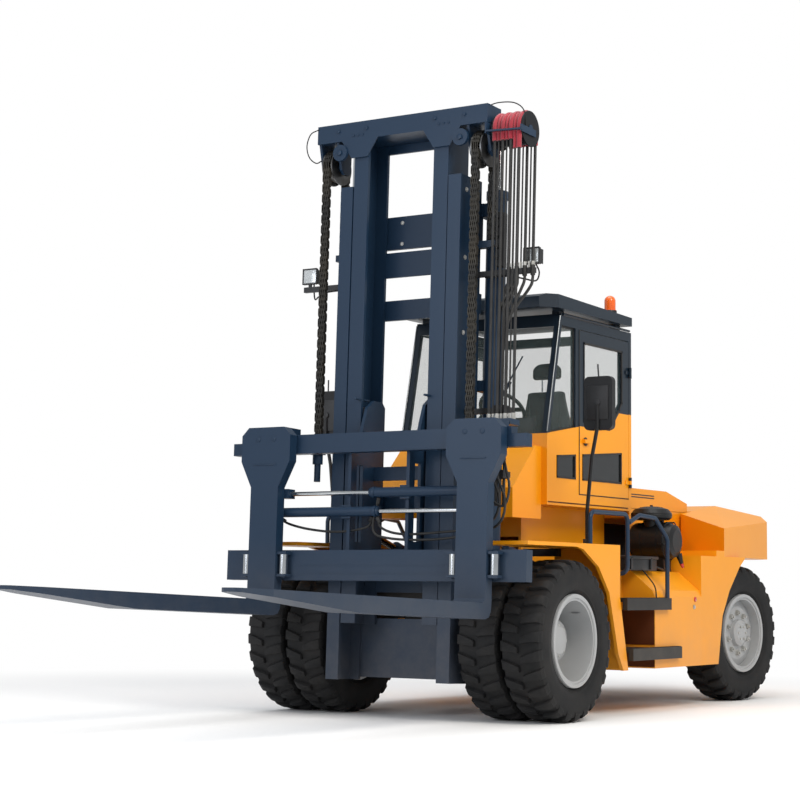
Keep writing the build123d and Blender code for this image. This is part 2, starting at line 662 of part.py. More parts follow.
def cab_glass():
    """The windscreen, rear window, quarter windows and the fixed low windows."""
    rake = (SCREEN_TOP_Y - CAB_FRONT) / (CAB_TOP - SILL_FRONT_Z)
    inside = CAB_HALF - CAB_WALL - GLASS_GAP
    y0 = CAB_FRONT + 12
    low = SILL_FRONT_Z + GLASS_GAP
    high = 2950 - GLASS_GAP
    top_y = y0 + rake * (high - low)
    screen = side_shape([(y0, low), (y0 + GLASS_T, low), (top_y + GLASS_T, high), (top_y, high)], -inside, inside)
    rear = box(-inside, inside, CAB_REAR - 30, CAB_REAR - 30 + GLASS_T, SILL_REAR_Z + GLASS_GAP, 2960 - GLASS_GAP)
    slope = (SILL_MID_Z - SILL_FRONT_Z) / (DOOR_FRONT - DOOR_GAP - CAB_FRONT)
    front_low = CAB_FRONT + 48
    front_high = front_low + rake * (HEADER_Z - SILL_FRONT_Z) - 2
    quarter = side_shape([
        (front_low, SILL_FRONT_Z + slope * 48 + 4), (B_PILLAR_Y - GLASS_GAP, SILL_FRONT_Z + slope * (B_PILLAR_Y - CAB_FRONT) + 4),
        (B_PILLAR_Y - GLASS_GAP, HEADER_Z - GLASS_GAP), (front_high, HEADER_Z - GLASS_GAP),
    ], CAB_HALF - 26, CAB_HALF - 26 + GLASS_T)
    small = side_shape(low_window(816 + GLASS_GAP, 1112 - GLASS_GAP), CAB_HALF - 20, CAB_HALF - 20 + GLASS_T)
    return screen + rear + both_sides(quarter + small)


def door_window():
    """The (y, z) outline of the door's main window."""
    return [(1262, 2240), (1790, 2305), (1880, 2380), (1930, 2440), (1930, 2860), (1262, 2860)]


def cab_door(side):
    """A door leaf with its two windows cut through, and its hinge knuckles."""
    leaf = side_shape([
        (DOOR_FRONT, DOOR_BOTTOM), (DOOR_REAR, DOOR_BOTTOM), (DOOR_REAR, HEADER_Z - DOOR_GAP),
        (DOOR_FRONT, HEADER_Z - DOOR_GAP),
    ], CAB_HALF - DOOR_T, CAB_HALF)
    leaf = leaf - side_shape(door_window(), CAB_HALF - DOOR_T - 1, CAB_HALF + 1)
    leaf = leaf - side_shape(low_window(1240, 1915), CAB_HALF - DOOR_T - 1, CAB_HALF + 1)
    for z in HINGE_Z:
        leaf = leaf + rod((HINGE_AT[0], HINGE_AT[1], z - 15), (HINGE_AT[0], HINGE_AT[1], z + 15), 13)
        leaf = leaf + box(CAB_HALF - 2, CAB_HALF + 8, DOOR_REAR - 60, HINGE_AT[1], z - 15, z + 15)
    handle = box(CAB_HALF - 1, CAB_HALF + 30, 1230, 1330, 2070, 2100)
    part = leaf + handle
    return part if side > 0 else mirror(part, about=Plane.YZ)


def door_glass(side):
    """The door's two panes."""
    pane = side_shape(door_window(), CAB_HALF - 24, CAB_HALF - 24 + GLASS_T)
    low = side_shape(low_window(1240, 1915), CAB_HALF - 24, CAB_HALF - 24 + GLASS_T)
    part = pane + low
    return part if side > 0 else mirror(part, about=Plane.YZ)


def cab_hinges():
    """The knuckles of the door hinges that stay on the cab."""
    part = Part()
    for z in HINGE_Z:
        for z0, z1 in ((z - 15 - FACE_GAP - 26, z - 15 - FACE_GAP), (z + 15 + FACE_GAP, z + 15 + FACE_GAP + 26)):
            part = part + rod((HINGE_AT[0], HINGE_AT[1], z0), (HINGE_AT[0], HINGE_AT[1], z1), 13)
            part = part + box(CAB_HALF, CAB_HALF + 8, HINGE_AT[1], CAB_REAR - 6, z0, z1)
    return both_sides(part)


def seat_base():
    """The seat's pedestal and the front console."""
    inside = CAB_HALF - CAB_WALL
    pedestal = box(-200, 200, 1430, 1850, CAB_BOTTOM + 40, 1850)
    console = side_shape([(CAB_FRONT + CAB_WALL, 1610), (820, 1610), (820, 1700), (860, 2080), (CAB_FRONT + CAB_WALL, 2080)],
                         -inside, inside)
    return pedestal + console


def seat():
    """The seat cushion, back and headrest."""
    cushion = box(-250, 250, 1360, 1860, 1850, 1990)
    back = front_shape([(-240, 1990), (240, 1990), (280, 2260), (190, 2600), (-190, 2600), (-280, 2260)], 1790, 1910)
    stem = box(-60, 60, 1840, 1880, 2600, 2640)
    head = front_shape([(-150, 2640), (150, 2640), (150, 2760), (90, 2810), (-90, 2810), (-150, 2760)], 1815, 1905)
    return cushion + back + stem + head


def steering():
    """The steering column and wheel."""
    foot = Vector(0, 830, 2050)
    head = Vector(0, 1100, 2330)
    along = (head - foot).normalized()
    tip = head + along * 20
    column = rod(tuple(foot), tuple(tip), 34)
    face = Plane(origin=tip, z_dir=along)
    wheel = face * Torus(185, 15)
    spokes = face * Box(370, 34, 12) + face * Box(34, 370, 12)
    return column + wheel + spokes - seat_base()


# Fittings on the chassis

def air_cleaner():
    """The air cleaner's drum with its domed end, pre-cleaner cap, duct and bracket."""
    x0, x1 = CLEANER_X
    drum = lathe([
        (x0, 0), (x0, CLEANER_R - 10), (x0 + 20, CLEANER_R), (x1 - 90, CLEANER_R), (x1 - 90, CLEANER_R + 6),
        (x1 - 70, CLEANER_R + 6), (x1 - 70, CLEANER_R - 4), (x1 - 18, CLEANER_R - 22), (x1, 90), (x1, 0),
    ], (0, CLEANER_Y, CLEANER_Z))
    neck = rod((CAP_X, CAP_Y, CLEANER_Z), (CAP_X, CAP_Y, 1500), 60)
    cap_face = Plane.XZ * make_face(Polyline(
        (0, 1494), (CAP_R - 24, 1494), (CAP_R, 1512), (CAP_R, 1548), (CAP_R - 30, 1582), (60, 1602), (0, 1602), close=True))
    cap = Pos(CAP_X, CAP_Y, 0) * revolve(cap_face, axis=Axis.Z)
    foot = box(x0 + 40, x1 - 90, CLEANER_Y - 70, CLEANER_Y + 70, TANK_TOP, CLEANER_Z - 60)
    duct = rod((HOOD_HALF, 2185, CLEANER_Z), (x0 + 2, 2185, CLEANER_Z), 45)
    return drum + neck + cap + foot + duct


def handrails():
    """Bent grab rails beside the steps, on both sides."""
    front = bent_tube([
        (GRAB_X, 370, FENDER_TOP), (GRAB_X, 370, 1500), (GRAB_X, 985, 1500), (GRAB_X, 985, 1055),
        (WELL_IN, 985, 1055),
    ], RAIL_TUBE_R, 60)
    rear = bent_tube([
        (BODY_HALF + 22, 1600, 872), (BODY_HALF + 22, 1600, 1330), (BODY_HALF, 1430, 1485), (GRAB_X, 1190, 1500),
        (GRAB_X, 1008, 1437),
    ], RAIL_TUBE_R, 60)
    return both_sides(front + rear)


def mirrors():
    """A mirror on a bent post on each front fender."""
    post = bent_tube([
        (1120, MIRROR_Y, FENDER_TOP), (1120, MIRROR_Y, 1500), (1160, MIRROR_Y, 1900), (MIRROR_X, MIRROR_Y, 2120),
        (MIRROR_X, MIRROR_Y, 2300),
    ], 14, 60)
    head = box(MIRROR_X - 115, MIRROR_X + 115, MIRROR_Y + 8, MIRROR_Y + 62, 2095, 2490)
    head = fillet(head.edges().filter_by(Axis.Y), 40)
    return both_sides(post + head)


def beacon():
    """The flashing beacon on the roof: a base, a lens and its domed end."""
    x, y = BEACON_AT
    base_z = ROOF_TOP - 30
    lens_top = base_z + 180 - BEACON_R
    base = rod((x, y, base_z), (x, y, base_z + 60), BEACON_R + 6)
    lens = rod((x, y, base_z + 60), (x, y, lens_top), BEACON_R)
    return base + lens + Pos(x, y, lens_top) * Sphere(BEACON_R)


# Outer mast

def half_ring(x0, x1, centre, inner, outer):
    """Half a flat ring over a sheave, from x0 to x1."""
    y, z = centre
    ring = Pos(0, y, z) * (rod((x0, 0, 0), (x1, 0, 0), outer) - rod((x0 - 1, 0, 0), (x1 + 1, 0, 0), inner))
    return ring - box(x0 - 1, x1 + 1, y - outer - 1, y + outer + 1, z - outer - 1, z)


def mast_outer_frame():
    """The outer mast: two channels, their ties, axle caps, tilt lugs and brackets."""
    channel = box(OUTER_HALF - STEEL, OUTER_HALF, OUTER_FRONT, OUTER_BACK, OUTER_BOTTOM, OUTER_TOP)
    channel = channel + box(OUTER_TIP, OUTER_HALF, OUTER_FRONT, OUTER_FRONT + STEEL, OUTER_BOTTOM, OUTER_TOP)
    channel = channel + box(OUTER_TIP, OUTER_HALF, OUTER_BACK - STEEL, OUTER_BACK, OUTER_BOTTOM, OUTER_TOP)
    frame = both_sides(channel)
    ties = [
        # z0, z1
        (3460, 3710), (2920, 3070), (1490, 1640), (270, 700),
    ]
    for z0, z1 in ties:
        frame = frame + box(-OUTER_HALF, OUTER_HALF, OUTER_BACK, OUTER_BACK + 30, z0, z1)
    cap = rod((MAST_LUG_X, 0, AXLE_Z), (OUTER_HALF, 0, AXLE_Z), AXLE_TUBE_R + 60)
    cap = cap + box(MAST_LUG_X, OUTER_HALF, OUTER_BACK - 2, 0, AXLE_Z - 160, AXLE_Z + 230)
    cap = cap - rod((MAST_LUG_X - 1, 0, AXLE_Z), (OUTER_HALF + 1, 0, AXLE_Z), AXLE_TUBE_R + 3)
    eye_y, eye_z = TILT_MAST
    lug = Part()
    for x0 in (TILT_X - 50, TILT_X + 32):
        lug = lug + rod((x0, eye_y, eye_z), (x0 + 18, eye_y, eye_z), 60)
        lug = lug + box(x0, x0 + 18, OUTER_BACK - 2, eye_y, eye_z - 60, eye_z + 60)
    pin = rod((TILT_X - 50, eye_y, eye_z), (TILT_X + 50, eye_y, eye_z), TILT_PIN_R)
    brackets = Part()
    for z0, z1 in ((CYL_BOTTOM, CYL_BOTTOM + 110), (2350, 2430), (3640, 3740)):
        brackets = brackets + box(OUTER_HALF - 2, CYL_X - 20, CYL_Y - 60, CYL_Y + 60, z0, z1)
        brackets = brackets + box(OUTER_HALF - 20, OUTER_HALF + 20, OUTER_BACK - 2, CYL_Y + 60, z0, z1)
    brackets = brackets - rod((CYL_X, CYL_Y, CYL_BOTTOM - 1), (CYL_X, CYL_Y, CYL_TOP), CYL_R + 0.2)
    anchor = box(OUTER_HALF - 2, CHAIN_X + 50, SHEAVE_Y + SHEAVE_R - 30, SHEAVE_Y + SHEAVE_R + 30,
                 CHAIN_ANCHOR_Z - 50, CHAIN_ANCHOR_Z)
    return frame + both_sides(cap + lug + pin + brackets + anchor)


def lift_barrels():
    """The two lift cylinder barrels, bored for their rods."""
    barrel = rod((CYL_X, CYL_Y, CYL_BOTTOM), (CYL_X, CYL_Y, CYL_TOP - 60), CYL_R)
    head = rod((CYL_X, CYL_Y, CYL_TOP - 60), (CYL_X, CYL_Y, CYL_TOP), CYL_R + 6)
    bore = rod((CYL_X, CYL_Y, CYL_BOTTOM + 40), (CYL_X, CYL_Y, CYL_TOP + 1), CYL_ROD_R + BORE_GAP)
    return both_sides(barrel + head - bore)


def work_lamps():
    """The lamp arms and their work lamps, one each side."""
    arm = box(OUTER_HALF + FACE_GAP, 1010, -300, -268, LAMP_Z - 60, LAMP_Z - 20)
    stalk = box(955, 980, -282, -268, LAMP_Z - 20, LAMP_Z + 10)
    lamp = box(LAMP_X, LAMP_X + LAMP_W, -282, -262, LAMP_Z + 5, LAMP_Z + 5 + LAMP_H)
    lamp = fillet(lamp.edges().filter_by(Axis.Y), 12)
    lamp = lamp - box(LAMP_X + 10, LAMP_X + LAMP_W - 10, -283, -276, LAMP_Z + 15, LAMP_Z - 5 + LAMP_H)
    lamp = lamp + box(LAMP_X + 10, LAMP_X + LAMP_W - 10, -262, -228, LAMP_Z + 15, LAMP_Z - 5 + LAMP_H)
    for fin in range(LAMP_FINS):
        x = LAMP_X + 10 + (LAMP_W - 26) * fin / (LAMP_FINS - 1)
        lamp = lamp + box(x, x + 6, -229, -207, LAMP_Z + 15, LAMP_Z - 5 + LAMP_H)
    return both_sides(arm + stalk + lamp)


def hose_bundle():
    """The fixed hoses that run down the outer mast's left side."""
    part = box(OUTER_HALF + FACE_GAP, 900, -420, -390, 2160, 2200)
    part = part + box(OUTER_HALF + FACE_GAP, 900, -420, -390, 1700, 1740)
    for x, y in BUNDLE:
        part = part + bent_tube([
            (x, -300 + (y + 440) / 3, LAMP_Z - 60), (x, -300 + (y + 440) / 3, LAMP_Z - 130), (x, y, LAMP_Z - 330),
            (x, y, 1500),
        ], HOSE_R, 40)
    return part


# Inner mast

def mast_inner_frame():
    """The inner mast: two channels, ties, the top beam with its pads and sheave plates."""
    t = STEEL - 2
    channel = box(INNER_OUT - STEEL, INNER_OUT, INNER_FRONT, INNER_BACK, INNER_BOTTOM, BEAM_BOTTOM)
    channel = channel + box(INNER_TIP, INNER_OUT, INNER_FRONT, INNER_FRONT + t, INNER_BOTTOM, BEAM_BOTTOM)
    channel = channel + box(INNER_TIP, INNER_OUT, INNER_BACK - t, INNER_BACK, INNER_BOTTOM, BEAM_BOTTOM)
    frame = both_sides(channel)
    ties = [
        # z0, z1
        (4190, BEAM_BOTTOM), (3240, 3430), (890, 1090),
    ]
    for z0, z1 in ties:
        frame = frame + box(-INNER_TIP, INNER_TIP, INNER_BACK - 20, INNER_BACK, z0, z1)
    beam = box(-BEAM_HALF, BEAM_HALF, BEAM_FRONT, BEAM_BACK, BEAM_BOTTOM, BEAM_TOP)
    beam = beam + box(-INNER_OUT, INNER_OUT, BEAM_BACK, INNER_BACK, BEAM_BOTTOM, BEAM_BOTTOM + 64)
    pad = front_shape([(200, BEAM_BOTTOM), (290, BEAM_BOTTOM - 138), (430, BEAM_BOTTOM - 138), (520, BEAM_BOTTOM)],
                      BEAM_FRONT, BEAM_FRONT + 10)
    boss = rod((525, BEAM_FRONT - 16, BEAM_BOTTOM - 90), (525, BEAM_FRONT + 10, BEAM_BOTTOM - 90), 62)
    rest = box(INNER_TIP, INNER_OUT, BEAM_FRONT + 9, INNER_FRONT + 1, BEAM_BOTTOM - 130, BEAM_BOTTOM)
    rod_plate = box(INNER_OUT + 100, BEAM_HALF - 20, BEAM_BACK - 2, CYL_Y + 75, BEAM_BOTTOM, BEAM_BOTTOM + 64)
    roller = rod((INNER_OUT - 1, ROLLER_Y, INNER_BOTTOM + 150), (OUTER_HALF - 35, ROLLER_Y, INNER_BOTTOM + 150), 112)
    sides = pad + boss + rest + rod_plate + roller
    for x0 in (560, 720):
        plate = side_shape([
            (BEAM_FRONT + 20, BEAM_BOTTOM), (SHEAVE_Y - 60, SHEAVE_Z - 30), (SHEAVE_Y - 30, SHEAVE_Z - 62),
            (SHEAVE_Y + 30, SHEAVE_Z - 62), (SHEAVE_Y + 62, SHEAVE_Z - 30), (BEAM_BACK, BEAM_BOTTOM),
        ], x0, x0 + 20)
        sides = sides + plate
    pin = rod((560, SHEAVE_Y, SHEAVE_Z), (740, SHEAVE_Y, SHEAVE_Z), 40)
    reel_pin = rod((735, REEL_Y, REEL_Z), (HOSE_X[3] + 30, REEL_Y, REEL_Z), 30)
    reel_arm = side_shape([
        (REEL_Y - 60, REEL_Z - 40), (REEL_Y + 60, REEL_Z - 40), (BEAM_BACK, BEAM_BOTTOM + 10), (BEAM_FRONT + 30, BEAM_BOTTOM + 10),
    ], 720, 740)
    return frame + beam + both_sides(sides + pin) + reel_pin + reel_arm


def lift_rods():
    """The two lift rods that hang from the top beam."""
    return both_sides(rod((CYL_X, CYL_Y, BEAM_BOTTOM - 1766), (CYL_X, CYL_Y, BEAM_BOTTOM), CYL_ROD_R))


def chain_sheaves():
    """The grooved wheels that the lift chains run over."""
    groove = SHEAVE_R - CHAIN_D / 2 - FACE_GAP
    wall = CHAIN_W / 2 + 3
    sheave = lathe([
        (-wall - 12, 40 + BORE_GAP), (-wall - 12, groove + 26), (-wall, groove + 26), (-wall, groove),
        (wall, groove), (wall, groove + 26), (wall + 12, groove + 26), (wall + 12, 40 + BORE_GAP),
    ], (CHAIN_X, SHEAVE_Y, SHEAVE_Z))
    return both_sides(sheave)


def hose_reel():
    """The grooved drum that the mast hoses run over."""
    inside = 30 + BORE_GAP
    base = REEL_R - HOSE_R - FACE_GAP
    x0 = HOSE_X[0] - 26
    x1 = HOSE_X[3] + 26
    return lathe([
        (x0, inside), (x0, base + 22), (x0 + 8, base + 22), (x0 + 8, base), (x1 - 8, base), (x1 - 8, base + 22),
        (x1, base + 22), (x1, inside),
    ], (0, REEL_Y, REEL_Z))


def chain_side(depth):
    """The (y, z) outline of a chain of this depth, with one straight link to each step over the sheave."""
    step = 180 / CHAIN_STEPS
    inner = (SHEAVE_R - depth / 2) / cos(radians(step / 2))
    outer = (SHEAVE_R + depth / 2) / cos(radians(step / 2))
    front = SHEAVE_Y - SHEAVE_R
    rear = SHEAVE_Y + SHEAVE_R
    turns = [radians(step * (k + 0.5)) for k in range(CHAIN_STEPS)]
    over = [(SHEAVE_Y - outer * cos(t), SHEAVE_Z + outer * sin(t)) for t in turns]
    under = [(SHEAVE_Y - inner * cos(t), SHEAVE_Z + inner * sin(t)) for t in reversed(turns)]
    start = [(front + depth / 2, CHAIN_END_Z), (front - depth / 2, CHAIN_END_Z)]
    end = [(rear + depth / 2, CHAIN_ANCHOR_Z), (rear - depth / 2, CHAIN_ANCHOR_Z)]
    return start + over + end + under


def lift_chain(side):
    """A leaf chain from the carriage, over its sheave, to the outer mast: packs of plates on narrower ones."""
    pack = CHAIN_W / 5
    chain = side_shape(chain_side(CHAIN_D - 10), CHAIN_X - CHAIN_W / 2, CHAIN_X + CHAIN_W / 2)
    for row in (-2, 0, 2):
        middle = CHAIN_X + row * pack
        chain = chain + side_shape(chain_side(CHAIN_D), middle - pack / 2, middle + pack / 2)
    return chain if side > 0 else mirror(chain, about=Plane.YZ)


def lift_hoses():
    """The four hoses that run over the reel to the carriage."""
    part = Part()
    for x in HOSE_X:
        start = Plane(origin=(x, REEL_Y - REEL_R, REEL_Z), z_dir=(0, 0, 1)) * Circle(HOSE_R)
        bend = revolve(start, axis=Axis((0, REEL_Y, REEL_Z), (-1, 0, 0)), revolution_arc=180)
        front = rod((x, REEL_Y - REEL_R, HOSE_END_Z), (x, REEL_Y - REEL_R, REEL_Z), HOSE_R)
        rear = rod((x, REEL_Y + REEL_R, LAMP_Z - 18), (x, REEL_Y + REEL_R, REEL_Z), HOSE_R)
        part = part + bend + front + rear
    return part


# Carriage

def carriage_frame():
    """The carriage: two fork bars on two side plates, with the chain and hose anchors."""
    low_z0, low_z1 = LOWER_BAR_Z
    up_z0, up_z1 = UPPER_BAR_Z
    frame = box(-UPPER_BAR_HALF, UPPER_BAR_HALF, BAR_FRONT, BAR_BACK, up_z0, up_z1)
    frame = frame + box(-UPPER_STUB_HALF, UPPER_STUB_HALF, BAR_FRONT, BAR_BACK, up_z0, UPPER_STUB_TOP)
    frame = frame + box(-LOWER_BAR_HALF, LOWER_BAR_HALF, BAR_FRONT, BAR_BACK, low_z0, low_z1)
    plate = side_shape([
        (BAR_BACK - 2, 990), (-640, 990), (-290, 1010), (-290, 2250), (-330, 2290), (-440, 2290),
        (-520, 2230), (-560, 2120), (-600, 1990), (-660, 1935), (BAR_BACK - 2, 1925),
    ], PLATE_X, PLATE_X + PLATE_T)
    window = side_shape([(-640, 1240), (-560, 1240), (-560, 1800), (-640, 1800)], PLATE_X - 1, PLATE_X + PLATE_T + 1)
    stubs = Part()
    for z in CARRIAGE_ROLLER_Z:
        stubs = stubs + rod((PLATE_X + PLATE_T - 2, ROLLER_Y - 2, z), (INNER_TIP + 6, ROLLER_Y - 2, z), 45)
    anchor = box(CHAIN_X - 50, CHAIN_X + 50, BAR_BACK - 2, SHEAVE_Y - SHEAVE_R + 30, CHAIN_END_Z - 50, CHAIN_END_Z)
    bolt = rod((CHAIN_X, SHEAVE_Y - SHEAVE_R, CHAIN_END_Z - 250), (CHAIN_X, SHEAVE_Y - SHEAVE_R, CHAIN_END_Z - 49), 24)
    nut = rod((CHAIN_X, SHEAVE_Y - SHEAVE_R, CHAIN_END_Z - 120), (CHAIN_X, SHEAVE_Y - SHEAVE_R, CHAIN_END_Z - 49), 38)
    frame = frame + both_sides(plate - window + stubs + anchor + bolt + nut)
    tie = box(-PLATE_X - 2, PLATE_X + 2, -420, -390, 1040, 1200) + box(-PLATE_X - 2, PLATE_X + 2, -420, -390, 1700, 1800)
    hose_post = box(CHAIN_X + 48, FENDER_IN_FRONT - 22, -655, -530, CHAIN_END_Z - 50, HOSE_END_Z)
    hose_shelf = box(FENDER_IN_FRONT - 24, HOSE_X[3] + 40, -655, -522, HOSE_END_Z - 40, HOSE_END_Z)
    return frame + tie + hose_post + hose_shelf


def carriage_rollers():
    """The rollers that guide the carriage in the inner mast."""
    part = Part()
    for z in CARRIAGE_ROLLER_Z:
        wheel = rod((INNER_TIP + 6, ROLLER_Y - 2, z), (INNER_OUT - STEEL - 8, ROLLER_Y - 2, z), 112)
        part = part + wheel
    return both_sides(part)


def positioner_barrels():
    """The two cross cylinders that move the forks, clamped to the side plates."""
    part = Part()
    for z, way in ((POSITIONER_Z[0], 1), (POSITIONER_Z[1], -1)):
        x0 = 0 if way > 0 else -19
        barrel = rod((way * x0, POSITIONER_Y, z), (way * POSITIONER_LENGTH, POSITIONER_Y, z), POSITIONER_R)
        bore = rod((way * (x0 - 1), POSITIONER_Y, z), (way * (POSITIONER_LENGTH - 30), POSITIONER_Y, z),
                   POSITIONER_ROD_R + BORE_GAP)
        middle = way * (PLATE_X + PLATE_T / 2)
        clamp = box(middle - 40, middle + 40, BAR_BACK - 2, POSITIONER_Y, z - 48, z + 48)
        part = part + (barrel + clamp - bore)
    return part


# Forks

def fork(side):
    """A fork: blade, rounded heel, shank, hook plate, hook, side yokes and positioner ear."""
    back = FORK_BACK
    face = back - FORK_T
    half = FORK_W / 2
    profile = [
        # y, z along the blade, the heel and the shank
        (face, 1780), (face, BLADE_TOP + 30), (face - 12, BLADE_TOP + 8), (face - 40, BLADE_TOP),
        (FORK_TIP, BLADE_TOP), (FORK_TIP, BLADE_TOP - TIP_T), (BREAK_Y, BLADE_BOTTOM), (back - 80, BLADE_BOTTOM),
        (back - 32, BLADE_BOTTOM + 14), (back - 8, BLADE_BOTTOM + 50), (back, BLADE_BOTTOM + 100), (back, 1780),
    ]
    bar = side_shape(profile, -half, half)
    tip = plan_shape([
        (-half - 1, FORK_TIP - 1), (half + 1, FORK_TIP - 1), (half + 1, FORK_TIP + 260), (70, FORK_TIP + 20),
        (40, FORK_TIP), (-40, FORK_TIP), (-70, FORK_TIP + 20), (-half - 1, FORK_TIP + 260),
    ], BLADE_BOTTOM, BLADE_TOP + 1)
    bar = bar - tip
    head = front_shape([
        (-half, 1628), (half, 1628), (PLATE_HALF, 1818), (PLATE_HALF, FORK_TOP - 60), (PLATE_HALF - 60, FORK_TOP),
        (60 - PLATE_HALF, FORK_TOP), (-PLATE_HALF, FORK_TOP - 60), (-PLATE_HALF, 1818),
    ], face, back)
    ledge = box(60 - PLATE_HALF, PLATE_HALF - 60, back - 1, HOOK_BACK, UPPER_BAR_Z[1] + 8, FORK_TOP)
    lip = box(60 - PLATE_HALF, PLATE_HALF - 60, BAR_BACK + 8, HOOK_BACK, UPPER_BAR_Z[1] - 52, FORK_TOP)
    holes = Part()
    for x in (-70, 70):
        holes = holes + rod((x, face - 1, FORK_TOP - 90), (x, back + 1, FORK_TOP - 90), 14)
    part = bar + head - holes + ledge + lip
    for z0, z1 in ((978, 997), (1139, 1158)):
        part = part + box(-204, 204, back - 70, back - 2, z0, z1)
    ear_z = POSITIONER_Z[1] if side > 0 else POSITIONER_Z[0]
    ear = box(half - 40, half + 34, back - 2, POSITIONER_Y + 34, ear_z - 34, ear_z + 34)
    ear = ear - rod((0, POSITIONER_Y, ear_z), (400, POSITIONER_Y, ear_z), POSITIONER_ROD_R)
    ear = ear if side < 0 else mirror(ear, about=Plane.YZ)
    return Pos(side * FORK_X, 0, 0) * (part + ear)


def fork_fittings(side):
    """The fork's side rollers and its positioner rod."""
    part = Part()
    for x in (-163, 163):
        part = part + rod((x, FORK_BACK - 36, 997.4), (x, FORK_BACK - 36, 1138.6), 34)
    part = Pos(side * FORK_X, 0, 0) * part
    z = POSITIONER_Z[1] if side > 0 else POSITIONER_Z[0]
    outer = side * (FORK_X - FORK_W / 2 + 40)
    inner = -160 * side
    return part + rod((outer, POSITIONER_Y, z), (inner, POSITIONER_Y, z), POSITIONER_ROD_R)


# Tilt cylinders

def tilt_eye():
    """The mast's tilt pin in the truck's frame, as (y, z), with the mast at its rest lean."""
    dy = TILT_MAST[0]
    dz = TILT_MAST[1] - AXLE_Z
    return (dy * cos(LEAN) + dz * sin(LEAN), AXLE_Z - dy * sin(LEAN) + dz * cos(LEAN))


def along_tilt(distance):
    """A point on the left tilt cylinder's line, measured from its chassis pin."""
    eye_y, eye_z = tilt_eye()
    line = Vector(0, eye_y - TILT_CHASSIS[0], eye_z - TILT_CHASSIS[1])
    return tuple(Vector(TILT_X, *TILT_CHASSIS) + line.normalized() * distance)


def tilt_length():
    """The distance between the two pins of a tilt cylinder at rest."""
    eye_y, eye_z = tilt_eye()
    return Vector(0, eye_y - TILT_CHASSIS[0], eye_z - TILT_CHASSIS[1]).length


def tilt_barrel(side):
    """A tilt cylinder's barrel, with its eye on the chassis pin."""
    eye = rod((TILT_X - 28, *TILT_CHASSIS), (TILT_X + 28, *TILT_CHASSIS), 56)
    body = rod(along_tilt(86), along_tilt(TILT_BARREL), TILT_R)
    neck = rod(along_tilt(30), along_tilt(88), 27)
    bore = rod(along_tilt(140), along_tilt(TILT_BARREL + 1), TILT_ROD_R + BORE_GAP)
    pin = rod((TILT_X - 60, *TILT_CHASSIS), (TILT_X + 60, *TILT_CHASSIS), TILT_PIN_R + BORE_GAP)
    part = eye + neck + body - bore - pin
    return part if side > 0 else mirror(part, about=Plane.YZ)


def tilt_rod(side):
    """A tilt cylinder's rod, with its eye round the mast's pin."""
    end = along_tilt(tilt_length())
    shaft = rod(along_tilt(300), along_tilt(tilt_length() - 40), TILT_ROD_R)
    eye = rod((TILT_X - 26, end[1], end[2]), (TILT_X + 26, end[1], end[2]), TILT_EYE_R)
    bore = rod((TILT_X - 30, end[1], end[2]), (TILT_X + 30, end[1], end[2]), TILT_BORE_R)
    part = shaft + eye - bore
    return part if side > 0 else mirror(part, about=Plane.YZ)


# Every node, in the truck's frame

def mirrored(part, side):
    """The left part itself, or its mirror image for the right side."""
    return part if side > 0 else mirror(part, about=Plane.YZ)


LEFT = 1
RIGHT = -1

nodes = {
    "main_frame": main_frame(),
    "drive_axle": drive_axle(),
    "steer_axle": steer_axle(),
    "engine_block": engine_block(),
    "cab_plinth": cab_plinth(),
    "fenders": fender(LEFT) + fender(RIGHT),
    "side_tanks": side_tank(LEFT) + side_tank(RIGHT),
    "steps": steps(),
    "counterweight": counterweight(),
    "engine_bay": engine_bay(),
    "hood": hood(),
    "cab_shell": cab_shell(),
    "cab_frame": cab_frame() + cab_hinges(),
    "cab_roof": cab_roof(),
    "cab_glass": cab_glass(),
    "seat_base": seat_base(),
    "seat": seat(),
    "steering": steering(),
    "air_cleaner": air_cleaner(),
    "handrails": handrails(),
    "mirrors": mirrors(),
    "beacon": beacon(),
    "mast_outer_frame": leaning(mast_outer_frame()),
    "lift_barrels": leaning(lift_barrels()),
    "work_lamps": leaning(work_lamps()),
    "hose_bundle": leaning(hose_bundle()),
    "mast_inner_frame": leaning(mast_inner_frame()),
    "lift_rods": leaning(lift_rods()),
    "chain_sheaves": leaning(chain_sheaves()),
    "hose_reel": leaning(hose_reel()),
    "chain_left": leaning(lift_chain(LEFT)),
    "chain_right": leaning(lift_chain(RIGHT)),
    "hoses_lift": leaning(lift_hoses()),
    "carriage_frame": leaning(carriage_frame()),
    "carriage_rollers": leaning(carriage_rollers()),
    "positioner_barrels": leaning(positioner_barrels()),
}
for name, side in (("left", LEFT), ("right", RIGHT)):
    tyres = tyre(FRONT_OUTER_X, 0) + tyre(FRONT_OUTER_X - DUAL_SPACING, 0)
    nodes["tyres_front_" + name] = mirrored(tyres, side)
    nodes["rims_front_" + name] = mirrored(front_rims(), side)
    nodes["tyre_rear_" + name] = steered(tyre(side * REAR_X, WHEELBASE), side)
    nodes["rim_rear_" + name] = steered(rear_rim(side), side)
    nodes["knuckle_" + name] = steered(knuckle(side), side)
    nodes["door_" + name] = cab_door(side)
    nodes["door_glass_" + name] = door_glass(side)
    nodes["tilt_barrel_" + name] = tilt_barrel(side)
    nodes["tilt_rod_" + name] = tilt_rod(side)
    nodes["fork_" + name] = leaning(fork(side))
    nodes["fork_fittings_" + name] = leaning(fork_fittings(side))

os.makedirs("parts", exist_ok=True)
for name, part in nodes.items():
    export_step(Pos(0, -ORIGIN_Y, 0) * part, f"parts/{name}.step")
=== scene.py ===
# %% [markdown]
# # A heavy forklift truck
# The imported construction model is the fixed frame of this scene: every steel part already has its real
# size and place. Blender adds what makes the parts look real: paint, rubber, glass, links, lugs, hoses,
# nuts, a seat that looks sat on, and the light.

import math

